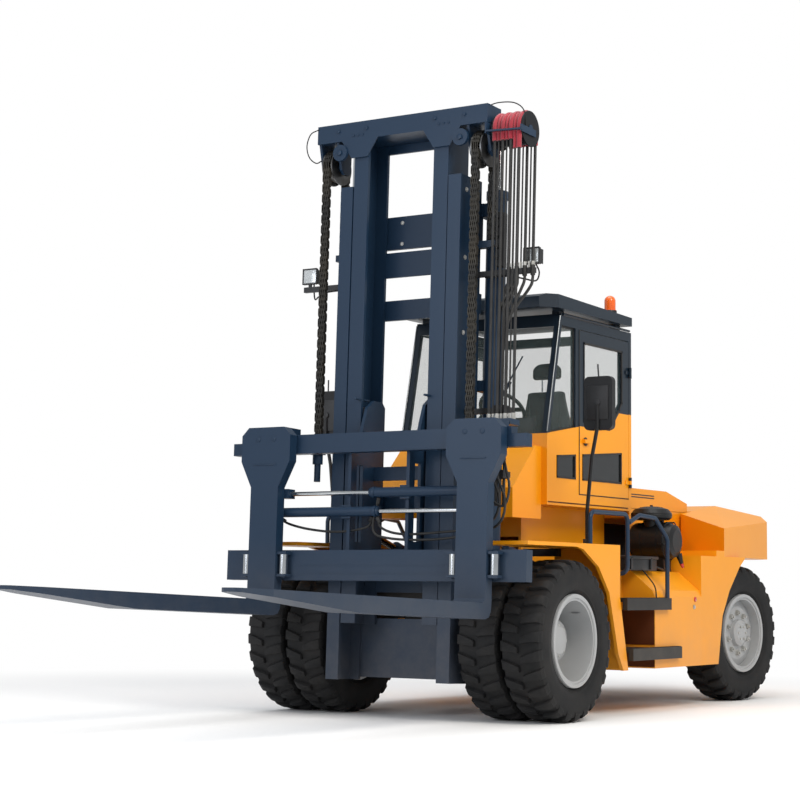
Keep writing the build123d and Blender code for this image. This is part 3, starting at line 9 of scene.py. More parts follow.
import bmesh
import bpy
from mathutils import Matrix, Vector


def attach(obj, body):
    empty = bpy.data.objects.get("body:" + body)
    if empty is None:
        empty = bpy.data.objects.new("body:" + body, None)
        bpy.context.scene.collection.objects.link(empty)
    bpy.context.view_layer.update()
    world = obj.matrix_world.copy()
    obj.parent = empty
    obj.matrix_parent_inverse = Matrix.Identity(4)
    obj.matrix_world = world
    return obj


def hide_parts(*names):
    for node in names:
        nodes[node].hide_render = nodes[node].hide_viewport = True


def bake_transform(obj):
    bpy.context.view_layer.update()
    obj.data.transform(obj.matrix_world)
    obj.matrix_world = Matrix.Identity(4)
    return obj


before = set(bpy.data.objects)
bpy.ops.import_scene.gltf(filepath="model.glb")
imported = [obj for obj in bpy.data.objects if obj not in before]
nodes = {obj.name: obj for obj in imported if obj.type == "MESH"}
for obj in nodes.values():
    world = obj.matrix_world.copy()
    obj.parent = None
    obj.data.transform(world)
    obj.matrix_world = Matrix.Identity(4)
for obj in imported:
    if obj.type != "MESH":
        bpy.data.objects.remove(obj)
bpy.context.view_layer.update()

# %% [markdown]
# ## The camera
# The photograph was taken from the truck's front left, from about waist height and with a long lens, so
# upright edges stay nearly parallel. Turning the camera by plain angles, one after the other, keeps the
# view easy to read: first round the truck, then up, then a touch of roll.

# %% Camera
YAW, PITCH, ROLL = (math.radians(a) for a in (32.662, 5.420, 0.523))
camera_data = bpy.data.cameras.new("camera")
camera_data.sensor_width = 36.0
camera_data.lens = 87.80
camera = bpy.data.objects.new("camera", camera_data)
turn = Matrix.Rotation(YAW, 4, "Z") @ Matrix.Rotation(math.radians(90) + PITCH, 4, "X")
turn = turn @ Matrix.Rotation(ROLL, 4, "Z")
camera.matrix_world = Matrix.Translation((7.6548, -12.8168, 0.9534)) @ turn
bpy.context.scene.collection.objects.link(camera)
bpy.context.scene.camera = camera
print("camera at", [round(v, 2) for v in camera.location])

# %% [markdown]
# ## Tools for materials
# Colours are written as they look on a screen, as hex values, and one function turns them into the linear
# numbers that a renderer adds up. One more function adds a node with its settings and links.

# %% Colour and node helpers
def linear(hex_colour):
    """An sRGB hex colour as linear red, green, blue and alpha."""
    values = [int(hex_colour[i:i + 2], 16) / 255 for i in (1, 3, 5)]
    values = [v / 12.92 if v <= 0.04045 else ((v + 0.055) / 1.055) ** 2.4 for v in values]
    return (*values, 1.0)


def add(tree, kind, settings=None, inputs=None):
    """Adds a node, sets its settings, and sets or links its inputs."""
    node = tree.nodes.new(kind)
    for key, value in (settings or {}).items():
        setattr(node, key, value)
    for key, value in (inputs or {}).items():
        if isinstance(value, bpy.types.NodeSocket):
            tree.links.new(value, node.inputs[key])
        else:
            node.inputs[key].default_value = value
    return node


def new_finish(name, **constants):
    """A material with one Principled shader, whose plain numbers sit on its own sockets."""
    material = bpy.data.materials.new(name)
    material.use_nodes = True
    tree = material.node_tree
    shader = tree.nodes["Principled BSDF"]
    for key, value in constants.items():
        shader.inputs[key.replace("_", " ")].default_value = value
    return material, tree, shader


def per_metre(millimetres):
    """A noise scale that gives grains of this size."""
    return 1000.0 / millimetres


print("white as linear numbers:", linear("#FFFFFF"))

# %% [markdown]
# ## Sprayed paint
# The steelwork is welded plate with sprayed two-pack paint. It has a clear gloss, a faint orange peel a few
# millimetres across, slow drifts in tone, and dust that settles towards the ground and in broad patches.
# The peel is a bump, the drifts are a soft noise in the colour, and the dust is mixed in by height.

# %% Paint
def sprayed_paint(name, colour, dusty, roughness=0.34, coat=0.10, peel_mm=9.0):
    """Two-pack paint on steel plate, with orange peel, drifts in tone and dust near the ground."""
    material, tree, shader = new_finish(name, Roughness=roughness, Coat_Weight=coat, Coat_Roughness=0.12,
                                         Specular_IOR_Level=0.25)
    place = add(tree, "ShaderNodeTexCoord")
    drift = add(tree, "ShaderNodeTexNoise", None,
                {"Vector": place.outputs["Object"], "Scale": per_metre(700), "Detail": 4.0})
    tone = add(tree, "ShaderNodeMapRange", None,
               {"Value": drift.outputs["Fac"], "From Min": 0.3, "From Max": 0.7,
                "To Min": 0.0, "To Max": 0.16})
    worn = add(tree, "ShaderNodeMix", {"data_type": "RGBA"},
               {"Factor": tone.outputs["Result"], "A": linear(colour), "B": linear(dusty)})
    height = add(tree, "ShaderNodeSeparateXYZ", None, {"Vector": place.outputs["Object"]})
    low = add(tree, "ShaderNodeMapRange", None,
              {"Value": height.outputs["Z"], "From Min": 1.3, "From Max": 0.2, "To Min": 0.0, "To Max": 0.35})
    patches = add(tree, "ShaderNodeTexNoise", None,
                  {"Vector": place.outputs["Object"], "Scale": per_metre(160), "Detail": 8.0,
                   "Roughness": 0.7})
    amount = add(tree, "ShaderNodeMath", {"operation": "MULTIPLY"},
                 {0: low.outputs["Result"], 1: patches.outputs["Fac"]})
    dust = add(tree, "ShaderNodeMix", {"data_type": "RGBA"},
               {"Factor": amount.outputs["Value"], "A": worn.outputs["Result"], "B": linear("#8A7F70")})
    peel = add(tree, "ShaderNodeTexNoise", None,
               {"Vector": place.outputs["Object"], "Scale": per_metre(peel_mm), "Detail": 2.0})
    bump = add(tree, "ShaderNodeBump", None,
               {"Height": peel.outputs["Fac"], "Strength": 0.10, "Distance": 0.002})
    tree.links.new(dust.outputs["Result"], shader.inputs["Base Color"])
    tree.links.new(bump.outputs["Normal"], shader.inputs["Normal"])
    return material


# Two-pack enamel on plate: warm yellow orange, glossy but softened by road dust.
orange = sprayed_paint("orange_two_pack_paint", "#EE9A0E", "#D98A14")
# The mast's slate blue: dark enough to read as black in shade, with a dull sheen.
blue = sprayed_paint("slate_blue_two_pack_paint", "#172C42", "#263B50", roughness=0.42, coat=0.06)
# The cab's frame is a shade darker and a little glossier than the mast.
cab_blue = sprayed_paint("dark_cab_frame_paint", "#13202C", "#1E2B37", roughness=0.38, coat=0.08)
# Underbody paint: nearly black, with hardly any clear coat.
chassis_black = sprayed_paint("black_chassis_paint", "#0E1116", "#1B1B1C", roughness=0.5, coat=0.03)
# Silver grey wheel enamel: its stronger clear coat gives the rim's edge a sharp highlight.
rim_silver = sprayed_paint("silver_wheel_enamel", "#A3A6A9", "#8A8C8C", roughness=0.3, coat=0.3)
print("paints:", orange.name, blue.name, cab_blue.name, chassis_black.name, rim_silver.name)

# %% [markdown]
# ## Cast iron under paint
# The counterweight is one casting. Sand casting leaves a slow waviness and a fine grain that paint can't
# hide, so its bump has two sizes: hand-wide waves and grains of a few millimetres.

# %% Painted casting
cast_orange = sprayed_paint("orange_paint_on_cast_iron", "#EE9A0E", "#DB8D1A", roughness=0.38, peel_mm=14.0)
tree = cast_orange.node_tree
shader = tree.nodes["Principled BSDF"]
place = add(tree, "ShaderNodeTexCoord")
waves = add(tree, "ShaderNodeTexNoise", None,
            {"Vector": place.outputs["Object"], "Scale": per_metre(260), "Detail": 2.0})
cast_bump = add(tree, "ShaderNodeBump", None,
                {"Height": waves.outputs["Fac"], "Strength": 0.25, "Distance": 0.012,
                 "Normal": shader.inputs["Normal"].links[0].from_socket})
tree.links.new(cast_bump.outputs["Normal"], shader.inputs["Normal"])
print("casting:", cast_orange.name)

# %% [markdown]
# ## Rubber, steel and plastic
# Tyre rubber is a grey black with no gloss, greyer in broad patches. Chain and roller steel is
# oiled and dark. Rods are hard chrome. Hoses have a fine wrapped texture. Moulded plastic has a grain about
# a millimetre across, drawn at three millimetres so that it shows from eight metres away.

# %% Plain finishes from noise
def grained(name, colour, other, grain_mm, bump_m, strength=0.4, **constants):
    """A surface whose tone and height both vary with one noise of a real grain size."""
    material, tree, shader = new_finish(name, **constants)
    place = add(tree, "ShaderNodeTexCoord")
    grain = add(tree, "ShaderNodeTexNoise", None,
                {"Vector": place.outputs["Object"], "Scale": per_metre(grain_mm), "Detail": 5.0})
    patch = add(tree, "ShaderNodeTexNoise", None,
                {"Vector": place.outputs["Object"], "Scale": per_metre(grain_mm * 40), "Detail": 3.0})
    tone = add(tree, "ShaderNodeMapRange", None,
               {"Value": patch.outputs["Fac"], "From Min": 0.35, "From Max": 0.65})
    mixed = add(tree, "ShaderNodeMix", {"data_type": "RGBA"},
                {"Factor": tone.outputs["Result"], "A": linear(colour), "B": linear(other)})
    bump = add(tree, "ShaderNodeBump", None,
               {"Height": grain.outputs["Fac"], "Strength": strength, "Distance": bump_m})
    tree.links.new(mixed.outputs["Result"], shader.inputs["Base Color"])
    tree.links.new(bump.outputs["Normal"], shader.inputs["Normal"])
    return material


# Moulded rubber with carbon black: matt, a touch lighter where it is scuffed.
tyre_rubber = grained("moulded_tyre_rubber", "#111214", "#1D1C1C", 4.0, 0.0015, Roughness=0.7,
                      Specular_IOR_Level=0.3)
# Rolled plates under chain oil, which darkens the steel and dulls its shine.
chain_steel = grained("oiled_chain_steel", "#2A2A29", "#3A362F", 5.0, 0.0006, Metallic=0.6, Roughness=0.42)
# Turned rollers and sheaves: bare steel, polished by what runs on it.
roller_steel = grained("turned_roller_steel", "#6E6F70", "#4A4845", 3.0, 0.0004, Metallic=0.9, Roughness=0.36)
# Hard chrome on ground rods: bright, with one sharp highlight along each rod.
chrome = grained("hard_chromed_rod", "#C9CCCE", "#B9BDC0", 6.0, 0.0001, 0.1, Metallic=1.0, Roughness=0.12)
# Hydraulic hose with a cloth-wrapped cover: dull black with a fine ripple.
hose_rubber = grained("wrapped_hydraulic_hose", "#141415", "#222222", 3.0, 0.0006, Roughness=0.6)
# A woven nylon sleeve: its threads catch light at the edges, so it gets a little sheen.
sleeve_red = grained("woven_crimson_sleeve", "#860D22", "#A0142C", 4.0, 0.001, Roughness=0.7,
                     Sheen_Weight=0.3)
# Moulded polypropylene with a leather grain, drawn at three millimetres so that it shows.
plastic = grained("grained_black_plastic", "#17181A", "#232427", 3.0, 0.0005, Roughness=0.52)
# Black enamel on pressed steel: the air cleaner and the mirrors.
cast_black = grained("black_enamel", "#0F1012", "#17181A", 8.0, 0.0006, Roughness=0.42,
                     Specular_IOR_Level=0.35)
# The wall behind the steps and the gap below the cab get painted shade: a dark reddish brown that stands for
# the orange paint in shadow there.
well_painted_shade = grained("painted_shade_brown_lining", "#4A2412", "#5C3018", 12.0, 0.001, Roughness=0.6,
                     Specular_IOR_Level=0.2)
# Woven polyester seat cloth: very rough, with a soft bright edge from its fibres.
seat_cloth = grained("woven_seat_cloth", "#1E2024", "#2A2C31", 2.0, 0.0008, 0.6, Roughness=0.85,
                     Sheen_Weight=0.25)
# Zinc plate dulls quickly outdoors, so it is half way between metal and a pale oxide.
zinc = grained("zinc_plated_nuts", "#BDBDBA", "#A3A29D", 2.0, 0.0003, Metallic=0.45, Roughness=0.35)
# Moulded acrylic lenses: clear colour under a smooth gloss.
amber = grained("amber_acrylic_lens", "#D9480C", "#F06A1A", 8.0, 0.0006, Roughness=0.12, Coat_Weight=0.5)
red_lens = grained("red_acrylic_lens", "#9E1410", "#B92018", 8.0, 0.0006, Roughness=0.12, Coat_Weight=0.5)
# Pressed lamp glass over a reflector: pale, bright and ribbed.
lamp_glass = grained("fluted_lamp_glass", "#C8CDCF", "#E4E7E8", 9.0, 0.002, Metallic=0.5, Roughness=0.15)
# Silvered glass: a mirror, with only a trace of waviness.
silvered = grained("silvered_mirror_glass", "#B8BEC2", "#AEB5B9", 20.0, 0.0001, 0.05, Metallic=1.0,
                   Roughness=0.05)
print("plain finishes:", tyre_rubber.name, chrome.name, seat_cloth.name)

# %% [markdown]
# ## Tinted cab glass
# Cab glass is green-grey tinted safety glass, 8 mm thick, in front of a dark interior. Letting part of the
# light straight through keeps the seat visible and lights the cab, where true refraction would need many
# more samples to do the same.

# %% Glass
glass, tree, shader = new_finish("tinted_safety_glass", Roughness=0.03, Alpha=0.14, IOR=1.52)
place = add(tree, "ShaderNodeTexCoord")
streak = add(tree, "ShaderNodeTexNoise", None,
             {"Vector": place.outputs["Object"], "Scale": per_metre(180), "Detail": 3.0})
tint = add(tree, "ShaderNodeMix", {"data_type": "RGBA"},
           {"Factor": streak.outputs["Fac"], "A": linear("#5B6A66"), "B": linear("#6C7A78")})
tree.links.new(tint.outputs["Result"], shader.inputs["Base Color"])
glass.surface_render_method = "BLENDED"
dark_glass, tree, shader = new_finish("dark_low_window_glass", Roughness=0.05, Alpha=0.92, IOR=1.52)
place = add(tree, "ShaderNodeTexCoord")
streak = add(tree, "ShaderNodeTexNoise", None,
             {"Vector": place.outputs["Object"], "Scale": per_metre(180), "Detail": 3.0})
tint = add(tree, "ShaderNodeMix", {"data_type": "RGBA"},
           {"Factor": streak.outputs["Fac"], "A": linear("#141719"), "B": linear("#1D2122")})
tree.links.new(tint.outputs["Result"], shader.inputs["Base Color"])
print("glass:", glass.name, dark_glass.name)

# %% [markdown]
# ## Two-tone doors
# Each door is one welded leaf, orange below the window line and dark above it. The line follows the sill,
# which rises towards the back, so the two paints are masked by the height over a line through the door,
# as a painter would mask them with tape.

# %% Two-tone door paint
# The colour line runs through these two places, (along the truck, up), in metres.
SILL_FRONT, SILL_REAR = (1.24, 2.20), (1.40, 2.355)


def two_tone(name):
    """Orange paint below the sill line and dark frame paint above it."""
    material = orange.copy()
    material.name = name
    tree = material.node_tree
    shader = tree.nodes["Principled BSDF"]
    lower = shader.inputs["Base Color"].links[0].from_socket
    place = add(tree, "ShaderNodeTexCoord")
    part = add(tree, "ShaderNodeSeparateXYZ", None, {"Vector": place.outputs["Object"]})
    line = add(tree, "ShaderNodeMapRange", None,
               {"Value": part.outputs["Y"], "From Min": SILL_FRONT[0], "From Max": SILL_REAR[0],
                "To Min": SILL_FRONT[1], "To Max": SILL_REAR[1]})
    above = add(tree, "ShaderNodeMath", {"operation": "GREATER_THAN"},
                {0: part.outputs["Z"], 1: line.outputs["Result"]})
    both = add(tree, "ShaderNodeMix", {"data_type": "RGBA"},
               {"Factor": above.outputs["Value"], "A": lower, "B": linear("#13202C")})
    tree.links.new(both.outputs["Result"], shader.inputs["Base Color"])
    return material


door_paint = two_tone("two_tone_door_paint")
print("door line rises", round(SILL_REAR[1] - SILL_FRONT[1], 3), "m towards the hinges")

# %% [markdown]
# ## Painting the frame
# Parts whose shape is right keep their construction mesh and only get their finish.

# %% Give every node its finish
finishes = {
    orange: ["cab_plinth", "fenders", "side_tanks", "engine_bay", "hood", "cab_shell"],
    blue: ["handrails", "mast_outer_frame", "lift_barrels", "mast_inner_frame", "carriage_frame",
           "positioner_barrels", "fork_left", "fork_right", "tilt_barrel_left", "tilt_barrel_right"],
    cab_blue: ["cab_frame", "cab_roof"],
    chassis_black: ["main_frame", "drive_axle", "steer_axle", "engine_block", "steps", "knuckle_left",
                    "knuckle_right", "hose_reel"],
    cast_orange: ["counterweight"],
    rim_silver: ["rims_front_left", "rims_front_right", "rim_rear_left", "rim_rear_right"],
    tyre_rubber: ["tyres_front_left", "tyres_front_right", "tyre_rear_left", "tyre_rear_right"],
    chrome: ["lift_rods", "tilt_rod_left", "tilt_rod_right", "fork_fittings_left", "fork_fittings_right"],
    chain_steel: ["chain_left", "chain_right"],
    roller_steel: ["chain_sheaves", "carriage_rollers"],
    hose_rubber: ["hose_bundle", "hoses_lift"],
    plastic: ["seat_base", "steering", "work_lamps"],
    cast_black: ["air_cleaner", "mirrors"],
    glass: ["cab_glass", "door_glass_left", "door_glass_right"],
    seat_cloth: ["seat"],
    amber: ["beacon"],
    door_paint: ["door_left", "door_right"],
}
painted = 0
for finish, names in finishes.items():
    for name in names:
        node = nodes[name]
        if not node.material_slots:
            node.data.materials.append(finish)
        for held in node.material_slots:
            held.material = finish
        painted += 1
print("nodes painted:", painted, "of", len(nodes))

# %% [markdown]
# ## Tools for shapes
# The truck is built in its own measuring frame, with the drive axle at zero, as the construction model is.
# Two matrices carry finished pieces into the shared frame: one for the truck, and one for the mast, which
# leans back two degrees about the drive axle.

# %% Frames and mesh helpers
DRIVE_AXLE_Y, TYRE_RADIUS, MAST_LEAN = -0.47977, 0.5725, math.radians(-2)
TRUCK = Matrix.Translation((0, DRIVE_AXLE_Y, 0))
MAST = TRUCK @ Matrix.Translation((0, 0, TYRE_RADIUS)) @ Matrix.Rotation(MAST_LEAN, 4, "X")
MAST = MAST @ Matrix.Translation((0, 0, -TYRE_RADIUS))

# Places that several cells share, in metres, from the construction model
WHEELBASE, KINGPIN_X = 3.45, 0.69
FRONT_TYRES_X, REAR_TYRE_X = (1.085, 0.740), 0.930
MAST_SIDE, CAB_SIDE, TANK_SIDE = 0.525, 0.650, 1.180
CHAIN_X, FORK_X = 0.650, 0.883
HOSE_FOOT_Z, HOSE_ARM_Z = 2.09, 3.222


def finish_piece(name, bm, material, body, place=TRUCK, angle=35):
    """Turns a bmesh into a shaded object that rides on a body."""
    bm.transform(place)
    bmesh.ops.recalc_face_normals(bm, faces=bm.faces)
    mesh = bpy.data.meshes.new(name)
    bm.to_mesh(mesh)
    bm.free()
    mesh.polygons.foreach_set("use_smooth", [True] * len(mesh.polygons))
    mesh.set_sharp_from_angle(angle=math.radians(angle))
    mesh.materials.append(material)
    piece = bpy.data.objects.new(name, mesh)
    bpy.context.scene.collection.objects.link(piece)
    if body:
        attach(piece, body)
    print(f"{name}: {len(mesh.polygons)} faces")
    return piece


print("frames ready")

# %% [markdown]
# ## Blocks and bars
# Most fittings are sawn, turned or folded from flat and round stock. A block with broken edges and a bar
# between two points give nearly all of them. Even a small bevel matters, since it catches the light that
# tells the eye that a part is solid steel.

# %% Blocks and bars
def block(bm, low, high, bevel=0.0):
    """A block between two corners, with its edges rounded."""
    low, high = Vector(low), Vector(high)
    size = high - low
    matrix = Matrix.Translation((low + high) / 2) @ Matrix.Diagonal((*size, 1))
    verts = bmesh.ops.create_cube(bm, size=1.0, matrix=matrix)["verts"]
    if bevel:
        edges = list({edge for vert in verts for edge in vert.link_edges})
        bmesh.ops.bevel(bm, geom=edges, offset=bevel, segments=2, profile=0.5, affect="EDGES")


def drum(bm, start, end, radius, sides=24, radius_end=None, bevel=0.0):
    """A round or many-sided bar between two points."""
    start, end = Vector(start), Vector(end)
    line = end - start
    matrix = Matrix.Translation((start + end) / 2) @ line.to_track_quat("Z", "Y").to_matrix().to_4x4()
    made = bmesh.ops.create_cone(bm, cap_ends=True, segments=sides, radius1=radius,
                                 radius2=radius if radius_end is None else radius_end,
                                 depth=line.length, matrix=matrix)["verts"]
    if bevel:
        faces = {face for vert in made for face in vert.link_faces if len(face.verts) == sides}
        edges = list({edge for face in faces for edge in face.edges})
        bmesh.ops.bevel(bm, geom=edges, offset=bevel, segments=2, profile=0.5, affect="EDGES")


def side_block(bm, side, x_span, y_span, z_span, bevel=0.0):
    """A block on one side of the truck. Its x span is given as distances from the middle."""
    low, high = sorted((side * x_span[0], side * x_span[1]))
    block(bm, (low, y_span[0], z_span[0]), (high, y_span[1], z_span[1]), bevel)


print("blocks and bars ready")

# %% [markdown]
# ## Turned and cut shapes
# Tyres, rings and bands are turned: an outline swept round an axle. Plates are cut: an outline pushed
# straight through its thickness. Both start from the few points that the outline needs.

# %% Turned and cut shapes
def lathe_x(bm, profile, centre, steps=96, closed=True):
    """Turns an outline of (x, radius) points about the X axis through a centre."""
    rings = []
    for step in range(steps):
        turn = 2 * math.pi * step / steps
        ring = [bm.verts.new((centre[0] + x, centre[1] + r * math.sin(turn), centre[2] + r * math.cos(turn)))
                for x, r in profile]
        rings.append(ring)
    count = len(profile)
    for step in range(steps):
        here, there = rings[step], rings[(step + 1) % steps]
        for k in range(count if closed else count - 1):
            bm.faces.new((here[k], here[(k + 1) % count], there[(k + 1) % count], there[k]))


def prism(bm, points, along, bevel=0.0):
    """A closed outline carried along a vector."""
    verts = [bm.verts.new(point) for point in points]
    face = bm.faces.new(verts)
    made = bmesh.ops.extrude_face_region(bm, geom=[face])
    top = [item for item in made["geom"] if isinstance(item, bmesh.types.BMVert)]
    bmesh.ops.translate(bm, verts=top, vec=Vector(along))
    if bevel:
        edges = list({edge for vert in verts + top for edge in vert.link_edges})
        bmesh.ops.bevel(bm, geom=edges, offset=bevel, segments=2, profile=0.5, affect="EDGES")


print("turned and cut shapes ready")

# %% [markdown]
# ## Hoses and cables
# A hose could be a curve object, but then its ends and its ring of faces would be harder to control. Here
# a ring of points is carried along the line, and turned as little as possible at each step, so that the
# tube doesn't twist.

# %% Hoses and cables
def tube(bm, points, radius, sides=12, caps=True):
    """A round tube whose centre runs through all the points."""
    points = [Vector(point) for point in points]
    rings = []
    normal = None
    for k, point in enumerate(points):
        before = points[max(k - 1, 0)]
        after = points[min(k + 1, len(points) - 1)]
        along = (after - before).normalized()
        if normal is None:
            normal = along.orthogonal().normalized()
        normal = (normal - along * normal.dot(along)).normalized()
        side = along.cross(normal)
        ring = []
        for step in range(sides):
            turn = 2 * math.pi * step / sides
            ring.append(bm.verts.new(point + radius * (math.cos(turn) * normal + math.sin(turn) * side)))
        rings.append(ring)
    for here, there in zip(rings, rings[1:]):
        for step in range(sides):
            bm.faces.new((here[step], here[(step + 1) % sides], there[(step + 1) % sides], there[step]))
    if caps:
        bm.faces.new(rings[0])
        bm.faces.new(rings[-1])


def smooth_line(points, per_run=10):
    """Points on a smooth curve through the given ones."""
    points = [Vector(point) for point in points]
    ends = [points[0] * 2 - points[1]] + points + [points[-1] * 2 - points[-2]]
    line = []
    for k in range(1, len(ends) - 2):
        a, b, c, d = ends[k - 1:k + 3]
        for step in range(per_run):
            t = step / per_run
            line.append(0.5 * (2 * b + (c - a) * t + (2 * a - 5 * b + 4 * c - d) * t * t
                               + (3 * b - a - 3 * c + d) * t ** 3))
    return line + [points[-1]]


print("hoses and cables ready")

# %% [markdown]
# ## Nuts, and names for two sides
# A nut stands on a washer, and its stud shows above it. Most of the truck is mirrored, so one small helper
# gives each side's sign with its name.

# %% Nuts and sides
def hex_nut(bm, centre, axis, size, height, stud=0.0):
    """A hexagon nut with a stud end, standing on a face."""
    centre, axis = Vector(centre), Vector(axis).normalized()
    drum(bm, centre, centre + axis * height, size, sides=6, bevel=size * 0.08)
    drum(bm, centre - axis * 0.002, centre + axis * 0.003, size * 1.35, sides=20)
    if stud:
        drum(bm, centre, centre + axis * (height + stud), size * 0.5, sides=12, bevel=0.001)


def per_side(name):
    """The side's sign and its name, left first."""
    return ((1, name + "_left"), (-1, name + "_right"))


print("nuts and sides ready:", per_side("door"))

# %% [markdown]
# ## Lugged tyres
# These are drive tyres for yards and building sites: a carcass with round sidewalls, and two rows of deep
# rubber blocks that start near the middle of the tread and wrap over the shoulder. Each block is drawn as
# a stack of cross-sections, from its narrow inner end to its broad shoulder end. The blocks on one side
# stand opposite the gaps on the other, which is what a mould for such tyres does.

# %% Tyre blocks
LUGS = 26
BLOCK = [
    # x, top radius, half width at the top, shift round the wheel, in metres
    (0.010, 0.5715, 0.020, -0.018), (0.055, 0.5722, 0.026, -0.006), (0.100, 0.5712, 0.032, 0.004),
    (0.130, 0.5640, 0.035, 0.009), (0.148, 0.5500, 0.037, 0.011), (0.1565, 0.5180, 0.037, 0.012),
]
CARCASS = [
    # x, radius of the sidewall and the tread's floor
    (0.126, 0.3004), (0.126, 0.3330), (0.134, 0.3400), (0.146, 0.3600), (0.150, 0.3620), (0.1525, 0.3800),
    (0.1550, 0.3840), (0.1572, 0.4200), (0.1574, 0.4550), (0.1560, 0.4900), (0.1520, 0.5150),
    (0.1440, 0.5330), (0.1200, 0.5420), (0.0600, 0.5445),
]


def tread_block(bm, side, angle):
    """One tread block on one side of the tyre, at an angle round it."""
    sections = []
    for x, top, half, shift in BLOCK:
        points = []
        for across, radius in ((-half - 0.008, 0.500), (-half, top), (half, top), (half + 0.008, 0.500)):
            turn = angle + (across + shift) / TYRE_RADIUS
            points.append(bm.verts.new((side * x, radius * math.sin(turn), radius * math.cos(turn))))
        sections.append(points)
    top_edges = []
    for here, there in zip(sections, sections[1:]):
        for k in range(3):
            face = bm.faces.new((here[k], here[k + 1], there[k + 1], there[k]))
            if k == 1:
                top_edges += [edge for edge in face.edges if edge.verts[0] in here and edge.verts[1] in there
                              or edge.verts[1] in here and edge.verts[0] in there]
    first = bm.faces.new(sections[0])
    last = bm.faces.new(sections[-1])
    top_edges += [edge for face in (first, last) for edge in face.edges
                  if set(edge.verts) <= {sections[k][corner] for k in (0, -1) for corner in (1, 2)}]
    bmesh.ops.bevel(bm, geom=list(set(top_edges)), offset=0.004, segments=2, profile=0.5, affect="EDGES")


def one_tyre():
    """A whole tyre about the origin, with its axle along X."""
    bm = bmesh.new()
    profile = CARCASS + [(-x, r) for x, r in reversed(CARCASS)]
    lathe_x(bm, profile, (0, 0, 0), steps=120)
    for side in (1, -1):
        for lug in range(LUGS):
            turn = 2 * math.pi * (lug + (0.5 if side < 0 else 0.0)) / LUGS
            tread_block(bm, side, turn)
    bmesh.ops.recalc_face_normals(bm, faces=bm.faces)
    mesh = bpy.data.meshes.new("tyre_shape")
    bm.to_mesh(mesh)
    bm.free()
    return mesh


print("tread blocks on a tyre:", 2 * LUGS)

# %% [markdown]
# ## Six tyres
# One tyre is made and copied six times. The front ones are twins, which share a hub and turn as one wheel.
# The rear ones are single, and are steered a few degrees, so each is turned about its own kingpin.

# %% Twin front tyres and steered rear ones
tyre_mesh = one_tyre()
STEER, TWIN_SHIFT = math.radians(-6.7), 4


def steered(side):
    """The turn of a rear wheel about its kingpin."""
    kingpin = Matrix.Translation((side * KINGPIN_X, WHEELBASE, 0))
    return TRUCK @ kingpin @ Matrix.Rotation(STEER, 4, "Z") @ kingpin.inverted()


for side, name in per_side("tyres_front"):
    bm = bmesh.new()
    for x in FRONT_TYRES_X:
        start = len(bm.verts)
        bm.from_mesh(tyre_mesh)
        bm.verts.ensure_lookup_table()
        # the outer twin is turned a few degrees, so that the blocks of the two don't line up
        shifted = Matrix.Rotation(math.radians(TWIN_SHIFT if x > 1 else 0), 4, "X")
        bmesh.ops.transform(bm, matrix=Matrix.Translation((side * x, 0, TYRE_RADIUS)) @ shifted,
                            verts=bm.verts[start:])
    obj = finish_piece(f"lugged_{name}", bm, tyre_rubber, "wheel_front" + name[11:])
    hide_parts(name)
for side, name in per_side("tyre_rear"):
    bm = bmesh.new()
    bm.from_mesh(tyre_mesh)
    bm.transform(Matrix.Translation((side * REAR_TYRE_X, WHEELBASE, TYRE_RADIUS)))
    wheel = "wheel_rear" + name[9:]
    obj = finish_piece(f"lugged_{name}", bm, tyre_rubber, wheel, steered(side))
    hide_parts(name)
bpy.data.meshes.remove(tyre_mesh)

# %% [markdown]
# ## Wheel nuts and rings
# A steel disc wheel is held by a ring of nuts on studs. The front wheels show theirs deep in the dish, the
# rear ones on the flat of the outset disc. A split ring, pressed into the rim's gutter, keeps the tyre on.

# %% Nuts, lock rings and valves
# The lock ring's section: (distance from the wheel's middle, radius)
LOCK_RING = [(0.143, 0.300), (0.152, 0.303), (0.156, 0.316), (0.152, 0.329), (0.143, 0.3315)]
for side, name in per_side("front_wheel_nuts"):
    bm = bmesh.new()
    for k in range(10):
        turn = 2 * math.pi * (k + 0.5) / 10
        centre = (side * 0.971, 0.225 * math.sin(turn), TYRE_RADIUS + 0.225 * math.cos(turn))
        hex_nut(bm, centre, (side, 0, 0), 0.021, 0.026, stud=0.014)
    for k in range(8):
        turn = 2 * math.pi * k / 8
        centre = (side * 1.095, 0.105 * math.sin(turn), TYRE_RADIUS + 0.105 * math.cos(turn))
        hex_nut(bm, centre, (side, 0, 0), 0.012, 0.012)
    finish_piece(name, bm, zinc, "wheel_front" + name[16:])
    bm = bmesh.new()
    lathe_x(bm, [(side * x, r) for x, r in LOCK_RING], (side * FRONT_TYRES_X[0], 0, TYRE_RADIUS))
    drum(bm, (side * 1.10, 0.20, TYRE_RADIUS + 0.19), (side * 1.16, 0.20, TYRE_RADIUS + 0.19), 0.006, 10)
    finish_piece("front_lock_ring" + name[16:], bm, rim_silver, "wheel_front" + name[16:])
